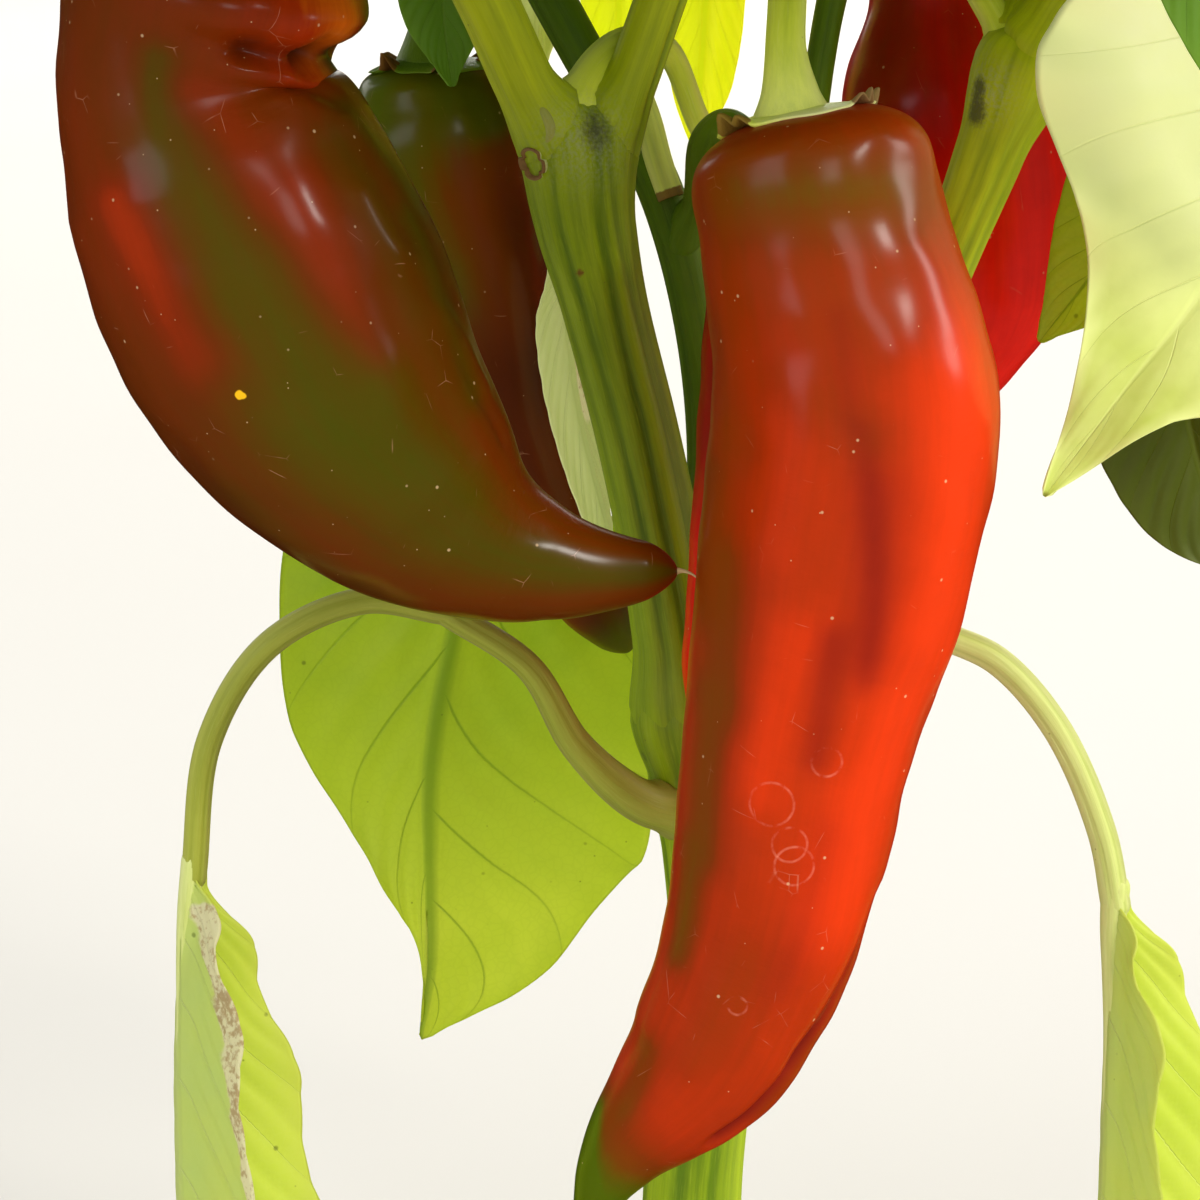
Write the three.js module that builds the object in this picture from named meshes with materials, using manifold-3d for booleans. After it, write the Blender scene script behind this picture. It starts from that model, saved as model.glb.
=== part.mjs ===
// Chilli pepper plant, rooted, with large hanging fruits.
// Millimetres, +Z up, +X right and +Y away from the viewer; origin on the ground, under the stem.
import * as THREE from 'three';
import { mergeVertices } from 'three/addons/utils/BufferGeometryUtils.js';
import Module from 'manifold-3d';

const wasm = await Module();
wasm.setup();

// Driving dimensions
const gap = 0.3;               // clearance between neighbouring pieces
const stemRadius = 9.6;        // main stem, below the fork
const flareRadius = 15;        // main stem, at the ground
const forkHeight = 172;        // where the stem divides
const calyxThickness = 1.6;    // green cap on a fruit's shoulder
const bladeThickness = 1.4;    // leaf blades, thicker than life so that they stay solid
const bladeEnd = 1.2;          // half width that a leaf keeps at its two ends
const massGap = 3;             // air between two masses that meet
const crownUnevenness = 0.05;  // swell of a mass for each of its waves, as a share of its radius
const crownWaves = [3.1, 3.7, 2.9];
const endRounding = 0.06;      // share of a fruit's length that rounds off each end

// Fineness
const frameSteps = 96;         // frames along a limb or a fruit
const radiusStep = 10;         // spacing that keeps the radius curve from overshooting
const ringsPerStation = 1.5;   // rings of a limb between two stations
const sides = { limb: 8, bough: 7, petiole: 7, stalk: 6, fruit: 10, calyx: 6 };
const fruitRings = 9;
const bladeRows = 8;

const materials = {
  stem: { color: 0x6f8a1c, roughness: 0.6 },
  stalk: { color: 0x86a03a, roughness: 0.55 },
  petiole: { color: 0x9aa852, roughness: 0.55 },
  redFruit: { color: 0xc4330c, roughness: 0.28 },
  turningFruit: { color: 0x7a3208, roughness: 0.28 },
  greenFruit: { color: 0x3f5a14, roughness: 0.3 },
  leaf: { color: 0x8fb02a, roughness: 0.6 },
  foliage: { color: 0x55801f, roughness: 0.8 },
};

// Stations of a limb or a fruit are x, y, z and radius, from its foot or its stalk end on
const limbs = {
  trunk: [
    [0, 0, 0, flareRadius], [0, 0, 9, 11.6], [0, 0, 30, stemRadius], [0, 0, 78, stemRadius],
    [4, 0, 118, 8.6], [2, 0, 150, 8.6], [-1, 0, forkHeight, 9.2],
  ],
  limb_left: [
    [-1, 0, forkHeight, 8.8], [-6, -1, 202, 8], [-11, -2, 226, 7.8], [-17, -3, 250, 8],
    [-21, -4, 268, 9.2], [-22, -4, 280, 8.6],
  ],
  limb_left_outer: [
    [-22, -4, 276, 5.8], [-29, -8, 286, 5.7], [-38, -14, 306, 5.6], [-46, -20, 322, 5.5],
    [-54, -26, 338, 6.2],
  ],
  limb_left_inner: [
    [-20, -4, 276, 5], [-15, -4, 284, 4.9], [-7, -2, 305, 4.7], [-1, -4, 323, 4.7], [6, -10, 341, 5.6],
  ],
  limb_middle: [
    [0, 2, 190, 4.4], [3, 11, 211, 4.4], [1, 14, 241, 4.4], [-7, 16, 270, 4.3], [-21, 20, 294, 4.2],
    [-31, 25, 312, 4.4], [-37, 28, 324, 5],
  ],
  limb_right: [
    [2, 1, 158, 6.4], [9, 2, 180, 6.2], [24, 3, 208, 5.9], [38, 3, 238, 5.7], [48, 2, 262, 5.7],
    [54, 2, 278, 6.4], [59, 2, 293, 7.2],
  ],
  limb_back: [
    [3, 1, 168, 3.2], [13, 10, 190, 3], [21, 22, 216, 2.9], [21, 26, 262, 2.8], [25, 30, 298, 2.8],
    [31, 36, 322, 3.4],
  ],
  limb_right_outer: [[59, 2, 290, 5.6], [70, -2, 312, 5.2], [84, -6, 332, 4.8], [104, -8, 352, 5]],
  limb_right_inner: [[58, 3, 292, 4.8], [64, 14, 316, 4.4], [72, 18, 344, 4.2], [80, 18, 372, 4.4]],
};

// What each limb grows from; a limb is cut to end on its parent's skin
const parents = {
  limb_left: ['trunk'],
  limb_left_outer: ['limb_left'],
  limb_left_inner: ['limb_left', 'limb_left_outer'],
  limb_middle: ['limb_left'],
  limb_right: ['trunk', 'limb_left'],
  limb_back: ['trunk', 'limb_left', 'limb_right'],
  limb_right_outer: ['limb_right'],
  limb_right_inner: ['limb_right', 'limb_right_outer'],
};

// Masses of foliage: centre and half sizes
const masses = {
  mass_left: { at: [-166, -26, 396], size: [80, 84, 70] },
  mass_front_left: { at: [-78, -122, 404], size: [76, 70, 68] },
  mass_front_right: { at: [62, -120, 400], size: [78, 72, 66] },
  mass_right: { at: [162, -10, 398], size: [78, 88, 72] },
  mass_back_right: { at: [84, 112, 402], size: [88, 80, 74] },
  mass_back_left: { at: [-88, 108, 408], size: [92, 80, 76] },
  mass_top_left: { at: [-70, -10, 506], size: [92, 96, 78] },
  mass_top_right: { at: [82, 6, 510], size: [86, 92, 76] },
  mass_middle: { at: [4, -4, 394], size: [50, 54, 44] },
};

// A bough leaves the end of its limb for its mass: limb, way point, mass, radius at its foot
const boughs = {
  bough_left: { from: [-54, -26, 336], by: [-88, -30, 356], to: 'mass_left', radius: 4.2, on: ['limb_left_outer'] },
  bough_front_left: {
    from: [-55, -27, 337], by: [-62, -62, 356], to: 'mass_front_left', radius: 3.9,
    on: ['limb_left_outer', 'bough_left'],
  },
  bough_front_right: {
    from: [7, -12, 340], by: [26, -52, 354], to: 'mass_front_right', radius: 3.9, on: ['limb_left_inner'],
  },
  bough_middle: {
    from: [6, -10, 340], by: [4, -4, 352], to: 'mass_middle', radius: 4,
    on: ['limb_left_inner', 'bough_front_right'],
  },
  bough_right: { from: [103, -8, 351], by: [124, -10, 362], to: 'mass_right', radius: 4.2, on: ['limb_right_outer'] },
  bough_top_right: {
    from: [80, 18, 371], by: [84, 16, 402], to: 'mass_top_right', radius: 3.9, on: ['limb_right_inner'],
  },
  bough_back_right: {
    from: [31, 36, 320], by: [56, 66, 346], to: 'mass_back_right', radius: 3.2, on: ['limb_back'],
  },
  bough_back_left: {
    from: [-37, 28, 322], by: [-52, 62, 350], to: 'mass_back_left', radius: 4, on: ['limb_middle'],
  },
  bough_top_left: {
    from: [-55, -26, 337], by: [-72, -16, 382], to: 'mass_top_left', radius: 4,
    on: ['limb_left_outer', 'bough_left', 'bough_front_left'],
  },
};

// Fruits, and the way of each stalk from the limb to the fruit's shoulder
const fruits = {
  front: {
    colour: 'redFruit',
    stations: [
      [16, -66, 289, 20.4], [21, -66, 268, 22.6], [25, -66, 242, 24.6], [23, -66, 215, 24.4],
      [17, -66, 183, 20.4], [11, -66, 153, 18], [2, -66, 125, 15.4], [-11, -64, 104, 10],
      [-23, -62, 89, 2],
    ],
    stalk: [[6, -12, 341, 3.4], [13, -32, 330, 3.3], [14, -50, 312, 3.3], [13, -60, 299, 3.9], [14, -65, 289, 8]],
    on: ['limb_left_inner', 'bough_front_right', 'bough_middle'],
    calyx: 15,
  },
  left: {
    colour: 'turningFruit',
    stations: [
      [-79, -60, 324, 18], [-82, -60, 311, 26.2], [-86, -60, 297, 25.4], [-84, -60, 281, 28],
      [-78, -60, 260, 27.6], [-67, -60, 241, 24.8], [-51, -60, 224, 19.2], [-38, -60, 216, 14.2],
      [-25, -60, 213.5, 9.4], [-5, -60, 211.5, 3],
    ],
    stalk: [[-55, -27, 338, 3.4], [-62, -38, 344, 3.3], [-71, -50, 340, 3.5], [-77, -57, 331, 5], [-79, -60, 322, 9]],
    on: ['limb_left_outer', 'bough_left', 'bough_front_left', 'bough_top_left'],
    calyx: 15,
  },
  dark: {
    colour: 'greenFruit',
    stations: [
      [-50, 30, 292, 13], [-46, 30, 276, 17], [-41, 30, 254, 15.8], [-36, 30, 231, 13.4],
      [-28, 30, 207, 10.8], [-20, 30, 187, 7.4], [-13, 30, 177, 1.5],
    ],
    stalk: [[-37, 28, 322, 2.6], [-44, 32, 318, 2.6], [-49, 32, 306, 2.8], [-50, 31, 298, 4], [-50, 30, 291, 7]],
    on: ['limb_middle', 'bough_back_left'],
    calyx: 11,
  },
  hidden: {
    colour: 'redFruit',
    stations: [
      [12, -24, 272, 10], [15, -24, 254, 14], [14, -24, 230, 14.6], [12, -24, 206, 14.2],
      [10, -24, 184, 12.8], [12, -24, 161, 9], [14, -24, 146, 1.5],
    ],
    stalk: [[-3, 15, 262, 2.2], [-3, 4, 276, 2.6], [0, -12, 284, 3], [7, -22, 281, 3.4], [12, -24, 271, 6]],
    on: ['limb_middle', 'limb_left_inner'],
    calyx: 8,
  },
  right: {
    colour: 'redFruit',
    stations: [
      [46, 39, 320, 12], [48, 39, 303, 15], [50, 39, 286, 20.4], [53, 39, 265, 20.8], [54, 39, 247, 18.8],
      [53, 39, 233, 13.4], [51, 39, 222, 4],
    ],
    stalk: [[58, 3, 296, 3], [50, 12, 311, 3], [45, 24, 328, 3], [46, 36, 330, 3.6], [46, 39.4, 325, 4.6], [46, 39, 317, 6.5]],
    on: ['limb_right', 'limb_right_inner', 'limb_right_outer'],
    calyx: 10,
  },
  behind: {
    colour: 'redFruit',
    stations: [[10, 52, 258, 7], [13, 52, 246, 11], [15, 52, 218, 11.4], [14, 52, 190, 8.6], [10, 52, 166, 1.5]],
    stalk: [[-18, 2, 284, 4.4], [-13, 12, 296, 4], [-5, 24, 294, 2.5], [1, 32, 280, 2.4], [8, 46, 267, 3], [10, 52, 257, 4.6]],
    on: ['limb_left', 'limb_left_outer', 'limb_left_inner', 'limb_middle'],
    calyx: 6.5,
  },
  far_left: {
    colour: 'turningFruit',
    stations: [[-150, 44, 322, 12], [-152, 44, 308, 18], [-156, 43, 280, 16.4], [-158, 40, 248, 11], [-154, 36, 222, 1.5]],
    stalk: [[-128, 0, 368, 2.2], [-138, 22, 352, 2.4], [-147, 40, 340, 2.8], [-150, 44, 321, 6.5]],
    on: ['mass_left'],
    calyx: 9,
  },
  far_right: {
    colour: 'redFruit',
    stations: [[142, 40, 318, 14], [143, 40, 302, 20], [146, 40, 272, 18], [143, 40, 240, 12.6], [132, 40, 214, 1.5]],
    stalk: [[112, -8, 356, 2.2], [124, 14, 354, 2.4], [137, 32, 342, 2.8], [142, 40, 317, 7]],
    on: ['limb_right_outer', 'bough_right', 'mass_right'],
    calyx: 10,
  },
};

// Leaf stalks that arch over a gap, in a rising and a falling piece each
const petioles = {
  petiole_left_rise: {
    stations: [[2, -2, 152, 3.4], [-10, -9, 157, 3.9], [-22, -14, 169, 3.1], [-31, -18, 185, 2.6], [-46, -21, 196, 2.5]],
    on: ['trunk', 'limb_left'],
  },
  petiole_left_fall: {
    stations: [[-46.3, -21, 196.2, 2.5], [-61, -22, 198.2, 2.5], [-78, -24, 190.5, 2.5], [-89, -25, 173, 2.4], [-92.5, -25, 147, 2.4]],
    on: ['petiole_left_rise'],
  },
  petiole_right_rise: {
    stations: [[5, 0, 158, 3.4], [18, -5, 171, 2.9], [29, -12, 186, 2.6], [44, -19, 191.5, 2.6]],
    on: ['trunk', 'limb_right', 'limb_left'],
  },
  petiole_right_fall: {
    stations: [[44.3, -19, 191.4, 2.6], [55, -20, 186.5, 2.7], [66, -21, 174, 2.7], [74.5, -22, 155, 2.7], [77.5, -22, 141, 2.8]],
    on: ['petiole_right_rise'],
  },
  petiole_big: {
    stations: [[-2, 2, 184, 2.4], [-4, 22, 196, 2.2], [-16, 38, 210, 2], [-36, 52, 217, 2]],
    on: ['trunk', 'limb_left', 'limb_middle'],
  },
  petiole_dark: {
    stations: [[80, -5, 327, 1.9], [88, -12, 316, 1.8], [89, -16, 294, 1.8], [84, -14, 269, 1.8]],
    on: ['limb_right_outer'],
  },
  petiole_edge_on: {
    stations: [[-20, -2, 264, 1.6], [-25, 8, 267, 1.5], [-31, 13, 262, 1.5]],
    on: ['limb_left'],
  },
  petiole_pale: {
    stations: [[98, -8, 347, 2], [109, -16, 350, 2], [112, -24, 342, 2], [109.5, -29, 332, 2]],
    on: ['limb_right_outer', 'bough_right'],
  },
};

// Leaf blades: midrib from the leaf's base to its tip, widest half width, the way its upper side
// faces, how far its halves fold up from flat, in degrees, how blunt its base and its tip are, and
// the stalk that it ends on
const leaves = {
  leaf_hanging_left: {
    midrib: [[-92.4, -25, 148], [-94, -27, 130], [-95, -30, 104], [-93, -34, 72], [-82, -37, 34]],
    half: 27, facing: [0.95, -0.3, 0.1], fold: 56, early: 0.95, late: 0.9, on: 'petiole_left_fall',
  },
  leaf_hanging_right: {
    midrib: [[77.4, -22, 142.5], [78, -24, 126], [77, -28, 98], [77, -31, 66], [84, -33, 32]],
    half: 26, facing: [0.9, -0.45, 0.1], fold: 50, early: 1.05, late: 0.9, on: 'petiole_right_fall',
  },
  leaf_big: {
    midrib: [[-35, 51.5, 216.5], [-46, 58, 200], [-49, 60, 172], [-45, 60, 144], [-40, 58, 118], [-54, 56, 91]],
    half: 42, facing: [0.1, 0.98, 0.1], fold: 6, early: 0.62, late: 0.95, on: 'petiole_big',
  },
  leaf_edge_on: {
    midrib: [[-31, 13, 262], [-27, 13, 248], [-23, 12, 228], [-18, 12, 208], [-15, 12, 196]],
    half: 5, facing: [-0.7, 0.7, 0], fold: 10, early: 0.7, late: 0.9, on: 'petiole_edge_on',
  },
  leaf_pale: {
    midrib: [[109.6, -28.6, 333.5], [106, -34, 306], [99, -37, 282], [88, -41, 259], [74, -44, 241], [60, -46, 222]],
    half: 44, facing: [-0.15, -0.95, 0.3], fold: 6, early: 0.55, late: 1, on: 'petiole_pale',
  },
  leaf_dark: {
    midrib: [[84, -14, 270], [86, -12, 250], [90, -10, 230], [95, -9, 213], [101, -8, 200]],
    half: 18, facing: [-0.1, -0.96, 0.2], fold: 10, early: 0.6, late: 0.9, on: 'petiole_dark',
  },
};

const group = new THREE.Group();

// A closed mesh from a geometry whose vertices are moved by place(vertex), with its corners merged
function bend(geometry, place) {
  const position = geometry.attributes.position;
  const vertex = new THREE.Vector3();
  for (let i = 0; i < position.count; i += 1) {
    vertex.fromBufferAttribute(position, i);
    place(vertex);
    position.setXYZ(i, vertex.x, vertex.y, vertex.z);
  }
  geometry.deleteAttribute('normal');
  geometry.deleteAttribute('uv');
  return toSolid(mergeVertices(geometry, 1e-3));
}

function toSolid(geometry) {
  return new wasm.Manifold(new wasm.Mesh({
    numProp: 3,
    vertProperties: new Float32Array(geometry.attributes.position.array),
    triVerts: new Uint32Array(geometry.index.array),
  }));
}

function addPart(name, solid, material) {
  const mesh = solid.getMesh();
  const geometry = new THREE.BufferGeometry();
  geometry.setAttribute('position', new THREE.BufferAttribute(new Float32Array(mesh.vertProperties), 3));
  geometry.setIndex(new THREE.BufferAttribute(new Uint32Array(mesh.triVerts), 1));
  const look = new THREE.MeshStandardMaterial({ ...materials[material], metalness: 0, flatShading: true });
  const part = new THREE.Mesh(geometry, look);
  part.name = name;
  group.add(part);
}

// Smooth centre line and radius through stations, and a frame that doesn't twist. The line's
// frames are spaced by length and the stations by their number, so a frame is found by length.
function sweep(stations) {
  const line = new THREE.CatmullRomCurve3(stations.map((s) => new THREE.Vector3(s[0], s[1], s[2])));
  const width = new THREE.CatmullRomCurve3(stations.map((s, i) => new THREE.Vector3(s[3], radiusStep * i, 0)));
  const frames = line.computeFrenetFrames(frameSteps, false);
  const lengths = line.getLengths(frameSteps);
  return (t) => {
    const travelled = lengths[Math.round(t * frameSteps)] / lengths[frameSteps];
    const index = Math.round(travelled * frameSteps);
    return {
      centre: line.getPoint(t),
      along: frames.tangents[index],
      side: frames.normals[index],
      up: frames.binormals[index],
      radius: width.getPoint(t).x,
    };
  };
}

// A round bar along its stations, grown on all sides and at both ends by extra
function limb(stations, count, extra = 0) {
  const at = sweep(stations);
  const rings = Math.round(ringsPerStation * (stations.length - 1));
  return bend(new THREE.CylinderGeometry(1, 1, 1, count, rings), (v) => {
    const t = v.y + 0.5;
    const { centre, along, side, up, radius } = at(t);
    const { x, z } = v;
    const isEnd = t < 1e-6 || t > 1 - 1e-6;
    v.copy(centre).addScaledVector(side, x * (radius + extra)).addScaledVector(up, -z * (radius + extra));
    if (isEnd) v.addScaledVector(along, t > 0.5 ? extra : -extra);
  });
}

// A fruit's rings lie closer together at its two rounded ends
function fruit(stations, extra = 0) {
  const at = sweep(stations);
  return bend(new THREE.SphereGeometry(1, sides.fruit, fruitRings), (v) => {
    const t = (1 - THREE.MathUtils.clamp(v.y, -1, 1)) / 2;
    const around = Math.hypot(v.x, v.z);
    const isPole = around < 1e-6;
    const { centre, along, side, up, radius } = at(t);
    const roundEnd = Math.min(1, Math.sqrt(Math.min(t, 1 - t) / endRounding));
    const reach = isPole ? 0 : ((radius + extra) * roundEnd) / around;
    const { x, z } = v;
    v.copy(centre).addScaledVector(side, x * reach).addScaledVector(up, z * reach);
    if (isPole) v.addScaledVector(along, t > 0.5 ? extra : -extra);
  });
}

// The fruit's skin, thickened, within reach of the stalk
function calyx(item) {
  const foot = new THREE.Vector3(...item.stations[0].slice(0, 3));
  const cap = bend(new THREE.SphereGeometry(item.calyx, sides.calyx, sides.calyx - 1), (v) => v.add(foot));
  return fruit(item.stations, calyxThickness).intersect(cap);
}

// A leaf's half width, from its base to its tip, as a share of the widest
function outline(t, early, late) {
  const peak = early / (early + late);
  return ((t / peak) ** early) * (((1 - t) / (1 - peak)) ** late);
}

function blade(leaf) {
  const line = new THREE.CatmullRomCurve3(leaf.midrib.map((p) => new THREE.Vector3(...p)));
  const fold = THREE.MathUtils.degToRad(leaf.fold);
  return bend(new THREE.BoxGeometry(1, 1, 1, 2, 1, bladeRows), (v) => {
    const t = v.z + 0.5;
    const along = line.getTangentAt(t);
    const side = new THREE.Vector3(...leaf.facing).cross(along).normalize();
    const face = along.clone().cross(side);
    const half = Math.max(leaf.half * outline(t, leaf.early, leaf.late), bladeEnd);
    const across = 2 * v.x * half;
    const lift = Math.abs(across) * Math.sin(fold) + v.y * bladeThickness;
    v.copy(line.getPointAt(t)).addScaledVector(side, across * Math.cos(fold)).addScaledVector(face, lift);
  });
}

// An uneven ball: its radius swells and dips with three slow waves
function mass(name, extra = 0) {
  const { at, size } = masses[name];
  const phase = at[0] * 0.7 + at[2] * 0.3;
  return bend(new THREE.IcosahedronGeometry(1, 2), (v) => {
    const waves = [
      Math.sin(crownWaves[0] * v.x + phase),
      Math.sin(crownWaves[1] * v.y - phase),
      Math.sin(crownWaves[2] * v.z + 2 * phase),
    ];
    const swell = 1 + crownUnevenness * (waves[0] + waves[1] + waves[2]);
    v.set(
      at[0] + v.x * (size[0] * swell + extra),
      at[1] + v.y * (size[1] * swell + extra),
      at[2] + v.z * (size[2] * swell + extra),
    );
  });
}

// Cutters are the neighbours' shapes grown by the gap
const cutters = {};

// What is left of a solid outside its neighbours, without the small offcuts beyond them
function cutBy(solid, names) {
  const pieces = names.reduce((left, name) => left.subtract(cutters[name]), solid).decompose();
  return pieces.reduce((best, piece) => (piece.volume() > best.volume() ? piece : best));
}

const massNames = Object.keys(masses);
for (const [index, name] of massNames.entries()) {
  const earlier = massNames.slice(0, index);
  addPart(name, earlier.reduce((left, other) => left.subtract(mass(other, massGap)), mass(name)), 'foliage');
  cutters[name] = mass(name, gap);
}

for (const [name, stations] of Object.entries(limbs)) {
  addPart(name, cutBy(limb(stations, sides.limb), parents[name] ?? []), 'stem');
  cutters[name] = limb(stations, sides.limb, gap);
}

for (const [name, bough] of Object.entries(boughs)) {
  const stations = [
    [...bough.from, bough.radius], [...bough.by, bough.radius * 0.9], [...masses[bough.to].at, bough.radius * 0.5],
  ];
  addPart(name, cutBy(limb(stations, sides.bough), [...bough.on, ...massNames]), 'stem');
  cutters[name] = limb(stations, sides.bough, gap);
}

for (const [name, item] of Object.entries(fruits)) {
  const skin = fruit(item.stations, gap);
  const stalk = calyx(item).add(limb(item.stalk, sides.stalk)).subtract(skin);
  addPart(`fruit_${name}`, fruit(item.stations), item.colour);
  addPart(`stalk_${name}`, cutBy(stalk, item.on), 'stalk');
}

for (const [name, item] of Object.entries(petioles)) {
  addPart(name, cutBy(limb(item.stations, sides.petiole), item.on), 'petiole');
  cutters[name] = limb(item.stations, sides.petiole, gap);
}

for (const [name, leaf] of Object.entries(leaves)) {
  addPart(name, cutBy(blade(leaf), [leaf.on]), 'leaf');
}

export default group;
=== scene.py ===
# Chilli pepper plant: skins, leaves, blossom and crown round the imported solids.
# Shapes are worked out in millimetres, +Z up with the viewer at -Y, and scaled to metres in addPiece.
import math
import bpy
import numpy as np
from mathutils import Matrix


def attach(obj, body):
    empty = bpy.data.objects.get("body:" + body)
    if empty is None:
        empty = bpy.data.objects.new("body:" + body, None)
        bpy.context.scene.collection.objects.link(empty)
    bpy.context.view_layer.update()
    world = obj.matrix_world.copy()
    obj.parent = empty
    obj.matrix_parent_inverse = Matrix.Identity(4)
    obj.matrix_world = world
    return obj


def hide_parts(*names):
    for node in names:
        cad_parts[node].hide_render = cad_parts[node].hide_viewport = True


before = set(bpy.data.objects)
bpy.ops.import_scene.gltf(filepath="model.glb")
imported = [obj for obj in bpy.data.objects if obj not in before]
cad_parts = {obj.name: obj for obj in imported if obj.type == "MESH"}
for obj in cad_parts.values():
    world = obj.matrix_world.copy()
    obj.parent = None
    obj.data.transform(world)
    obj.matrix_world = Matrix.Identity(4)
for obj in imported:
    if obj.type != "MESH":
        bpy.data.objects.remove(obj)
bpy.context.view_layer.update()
print("frame loaded with", len(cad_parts), "solids")

mm = 0.001
radiusStep = 10  # spacing of the radius curve's knots, as in the solids
viewerWay = np.array([0.0, -1.0, 0.0])

# camera

camera = {"eye": (-17.8, -763.6, 356), "pitchDown": 12, "lens": 125, "sensor": 36}


def addObject(name, data):
    made = bpy.data.objects.new(name, data)
    bpy.context.scene.collection.objects.link(made)
    return made


def addCamera():
    data = bpy.data.cameras.new("camera")
    data.lens, data.sensor_width = camera["lens"], camera["sensor"]
    made = addObject("camera", data)
    made.location = [c * mm for c in camera["eye"]]
    made.rotation_euler = (math.radians(90 - camera["pitchDown"]), 0, 0)
    bpy.context.scene.camera = made


addCamera()

# curves


def unit(v):
    return v / np.maximum(np.linalg.norm(v, axis=-1, keepdims=True), 1e-12)


def softStep(x, low, high):
    x = np.clip((x - low) / (high - low), 0, 1)
    return x * x * (3 - 2 * x)


# Centripetal Catmull-Rom through the points: each stretch is a cubic, and the slope at a knot weighs
# the stretches beside it by the square root of their length
def spline(points, t):
    points = np.array(points, float)
    padded = np.vstack([2 * points[0] - points[1], points, 2 * points[-1] - points[-2]])
    place = np.clip(t, 0, 1) * (len(points) - 1)
    index = np.minimum(place.astype(int), len(points) - 2)
    w = (place - index)[:, None]
    a, b, c, d = (padded[index + k] for k in range(4))
    gaps = ((a, b), (b, c), (c, d))
    before, here, after = (np.sqrt(np.linalg.norm(q - p, axis=1, keepdims=True)) for p, q in gaps)
    start = ((b - a) / before - (c - a) / (before + here) + (c - b) / here) * here
    stop = ((c - b) / here - (d - b) / (here + after) + (d - c) / after) * here
    return b + w * start + w * w * (3 * (c - b) - 2 * start - stop) + w ** 3 * (2 * (b - c) + start + stop)


# how far a line of stations runs
def runOf(stations):
    return np.linalg.norm(np.diff(np.array(stations, float)[:, :3], axis=0), axis=1).sum()


# a bell that is 1 at nought and falls away over a width
def bell(x, width):
    return np.exp(-(x / width) ** 2)


# values at evenly numbered stations, joined by the same curve
def eased(values, t):
    knots = np.column_stack([values, radiusStep * np.arange(len(values))])
    return spline(knots, np.ravel(t))[:, 0].reshape(np.shape(t))


# Centre, direction, two directions across it and radius of a line of stations, at any array of t.
# Angle 0 faces the viewer; on a line that runs up, 90 degrees is the viewer's right, and mirror -1
# does the same for a line that runs down
def lineAt(stations, t, mirror=1):
    stations, t = np.array(stations, float), np.asarray(t, float)
    flat = t.ravel()
    step = 1e-3
    path = stations[:, :3]
    centre = spline(path, flat)
    along = unit(spline(path, np.minimum(flat + step, 1)) - spline(path, np.maximum(flat - step, 0)))
    toward = unit(viewerWay - (along @ viewerWay)[:, None] * along)
    side = np.cross(along, toward) * mirror
    vectors = (a.reshape(t.shape + (3,)) for a in (centre, along, toward, side))
    return (*vectors, eased(stations[:, 3], t))


def turn(degrees):
    return (degrees + 180) % 360 - 180


# a slow unevenness: the sum of a few sine waves in random directions
def swell(points, wavelength, rng, waves=7):
    ways = unit(rng.normal(size=(waves, 3))) * (2 * math.pi / wavelength) * rng.uniform(0.6, 1.4, (waves, 1))
    return np.sin(points @ ways.T + rng.uniform(0, 2 * math.pi, waves)).sum(axis=-1) / math.sqrt(waves)


# meshes

# a grid that closes round its columns and is drawn to one point at its first and its last row
def tubeOrder(values):
    return np.concatenate([values[:1, 0], values[1:-1].reshape((-1,) + values.shape[2:]), values[-1:, 0]])


def tubeFaces(rows, cols):
    ring = 1 + np.arange((rows - 2) * cols).reshape(rows - 2, cols)
    after = np.roll(ring, -1, axis=1)
    quads = np.stack([ring[:-1], after[:-1], after[1:], ring[1:]], axis=-1).reshape(-1, 4)
    last = 1 + (rows - 2) * cols
    first = np.stack([np.zeros(cols, int), after[0], ring[0]], axis=-1)
    end = np.stack([np.full(cols, last), ring[-1], after[-1]], axis=-1)
    return quads, np.vstack([first, end])


def sheetFaces(rows, cols):
    at = np.arange(rows * cols).reshape(rows, cols)
    return np.stack([at[:-1, :-1], at[:-1, 1:], at[1:, 1:], at[1:, :-1]], axis=-1).reshape(-1, 4)


# six times the volume that closed faces hold, below nought where they point inwards
def signedVolume(points, quads, tris):
    corners = np.vstack([tris, quads[:, [0, 1, 2]], quads[:, [0, 2, 3]]])
    a, b, c = (points[corners[:, k]] for k in range(3))
    return np.einsum("ij,ij->", a, np.cross(b, c))


# Shapes are gathered here before they become one piece: points, faces, layers of values and finish numbers
class Shapes:
    def __init__(self):
        self.points, self.quads, self.tris, self.finishes, self.layers, self.count = [], [], [], [], {}, 0

    def add(self, points, quads, tris=None, layers=(), finish=0, closed=True):
        tris = np.zeros((0, 3), int) if tris is None else tris
        if closed and signedVolume(points, quads, tris) < 0:
            quads, tris = quads[:, ::-1], tris[:, ::-1]
        self.points.append(points)
        self.quads.append(quads + self.count)
        self.tris.append(tris + self.count)
        single = finish if np.ndim(finish) == 0 else 0
        self.finishes.append((np.broadcast_to(finish, len(quads)), np.full(len(tris), single)))
        self.count += len(points)
        for name, values in dict(layers).items():
            values = np.broadcast_to(values, (len(points),) + np.shape(values)[1:])
            self.layers.setdefault(name, []).append(values)


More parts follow.
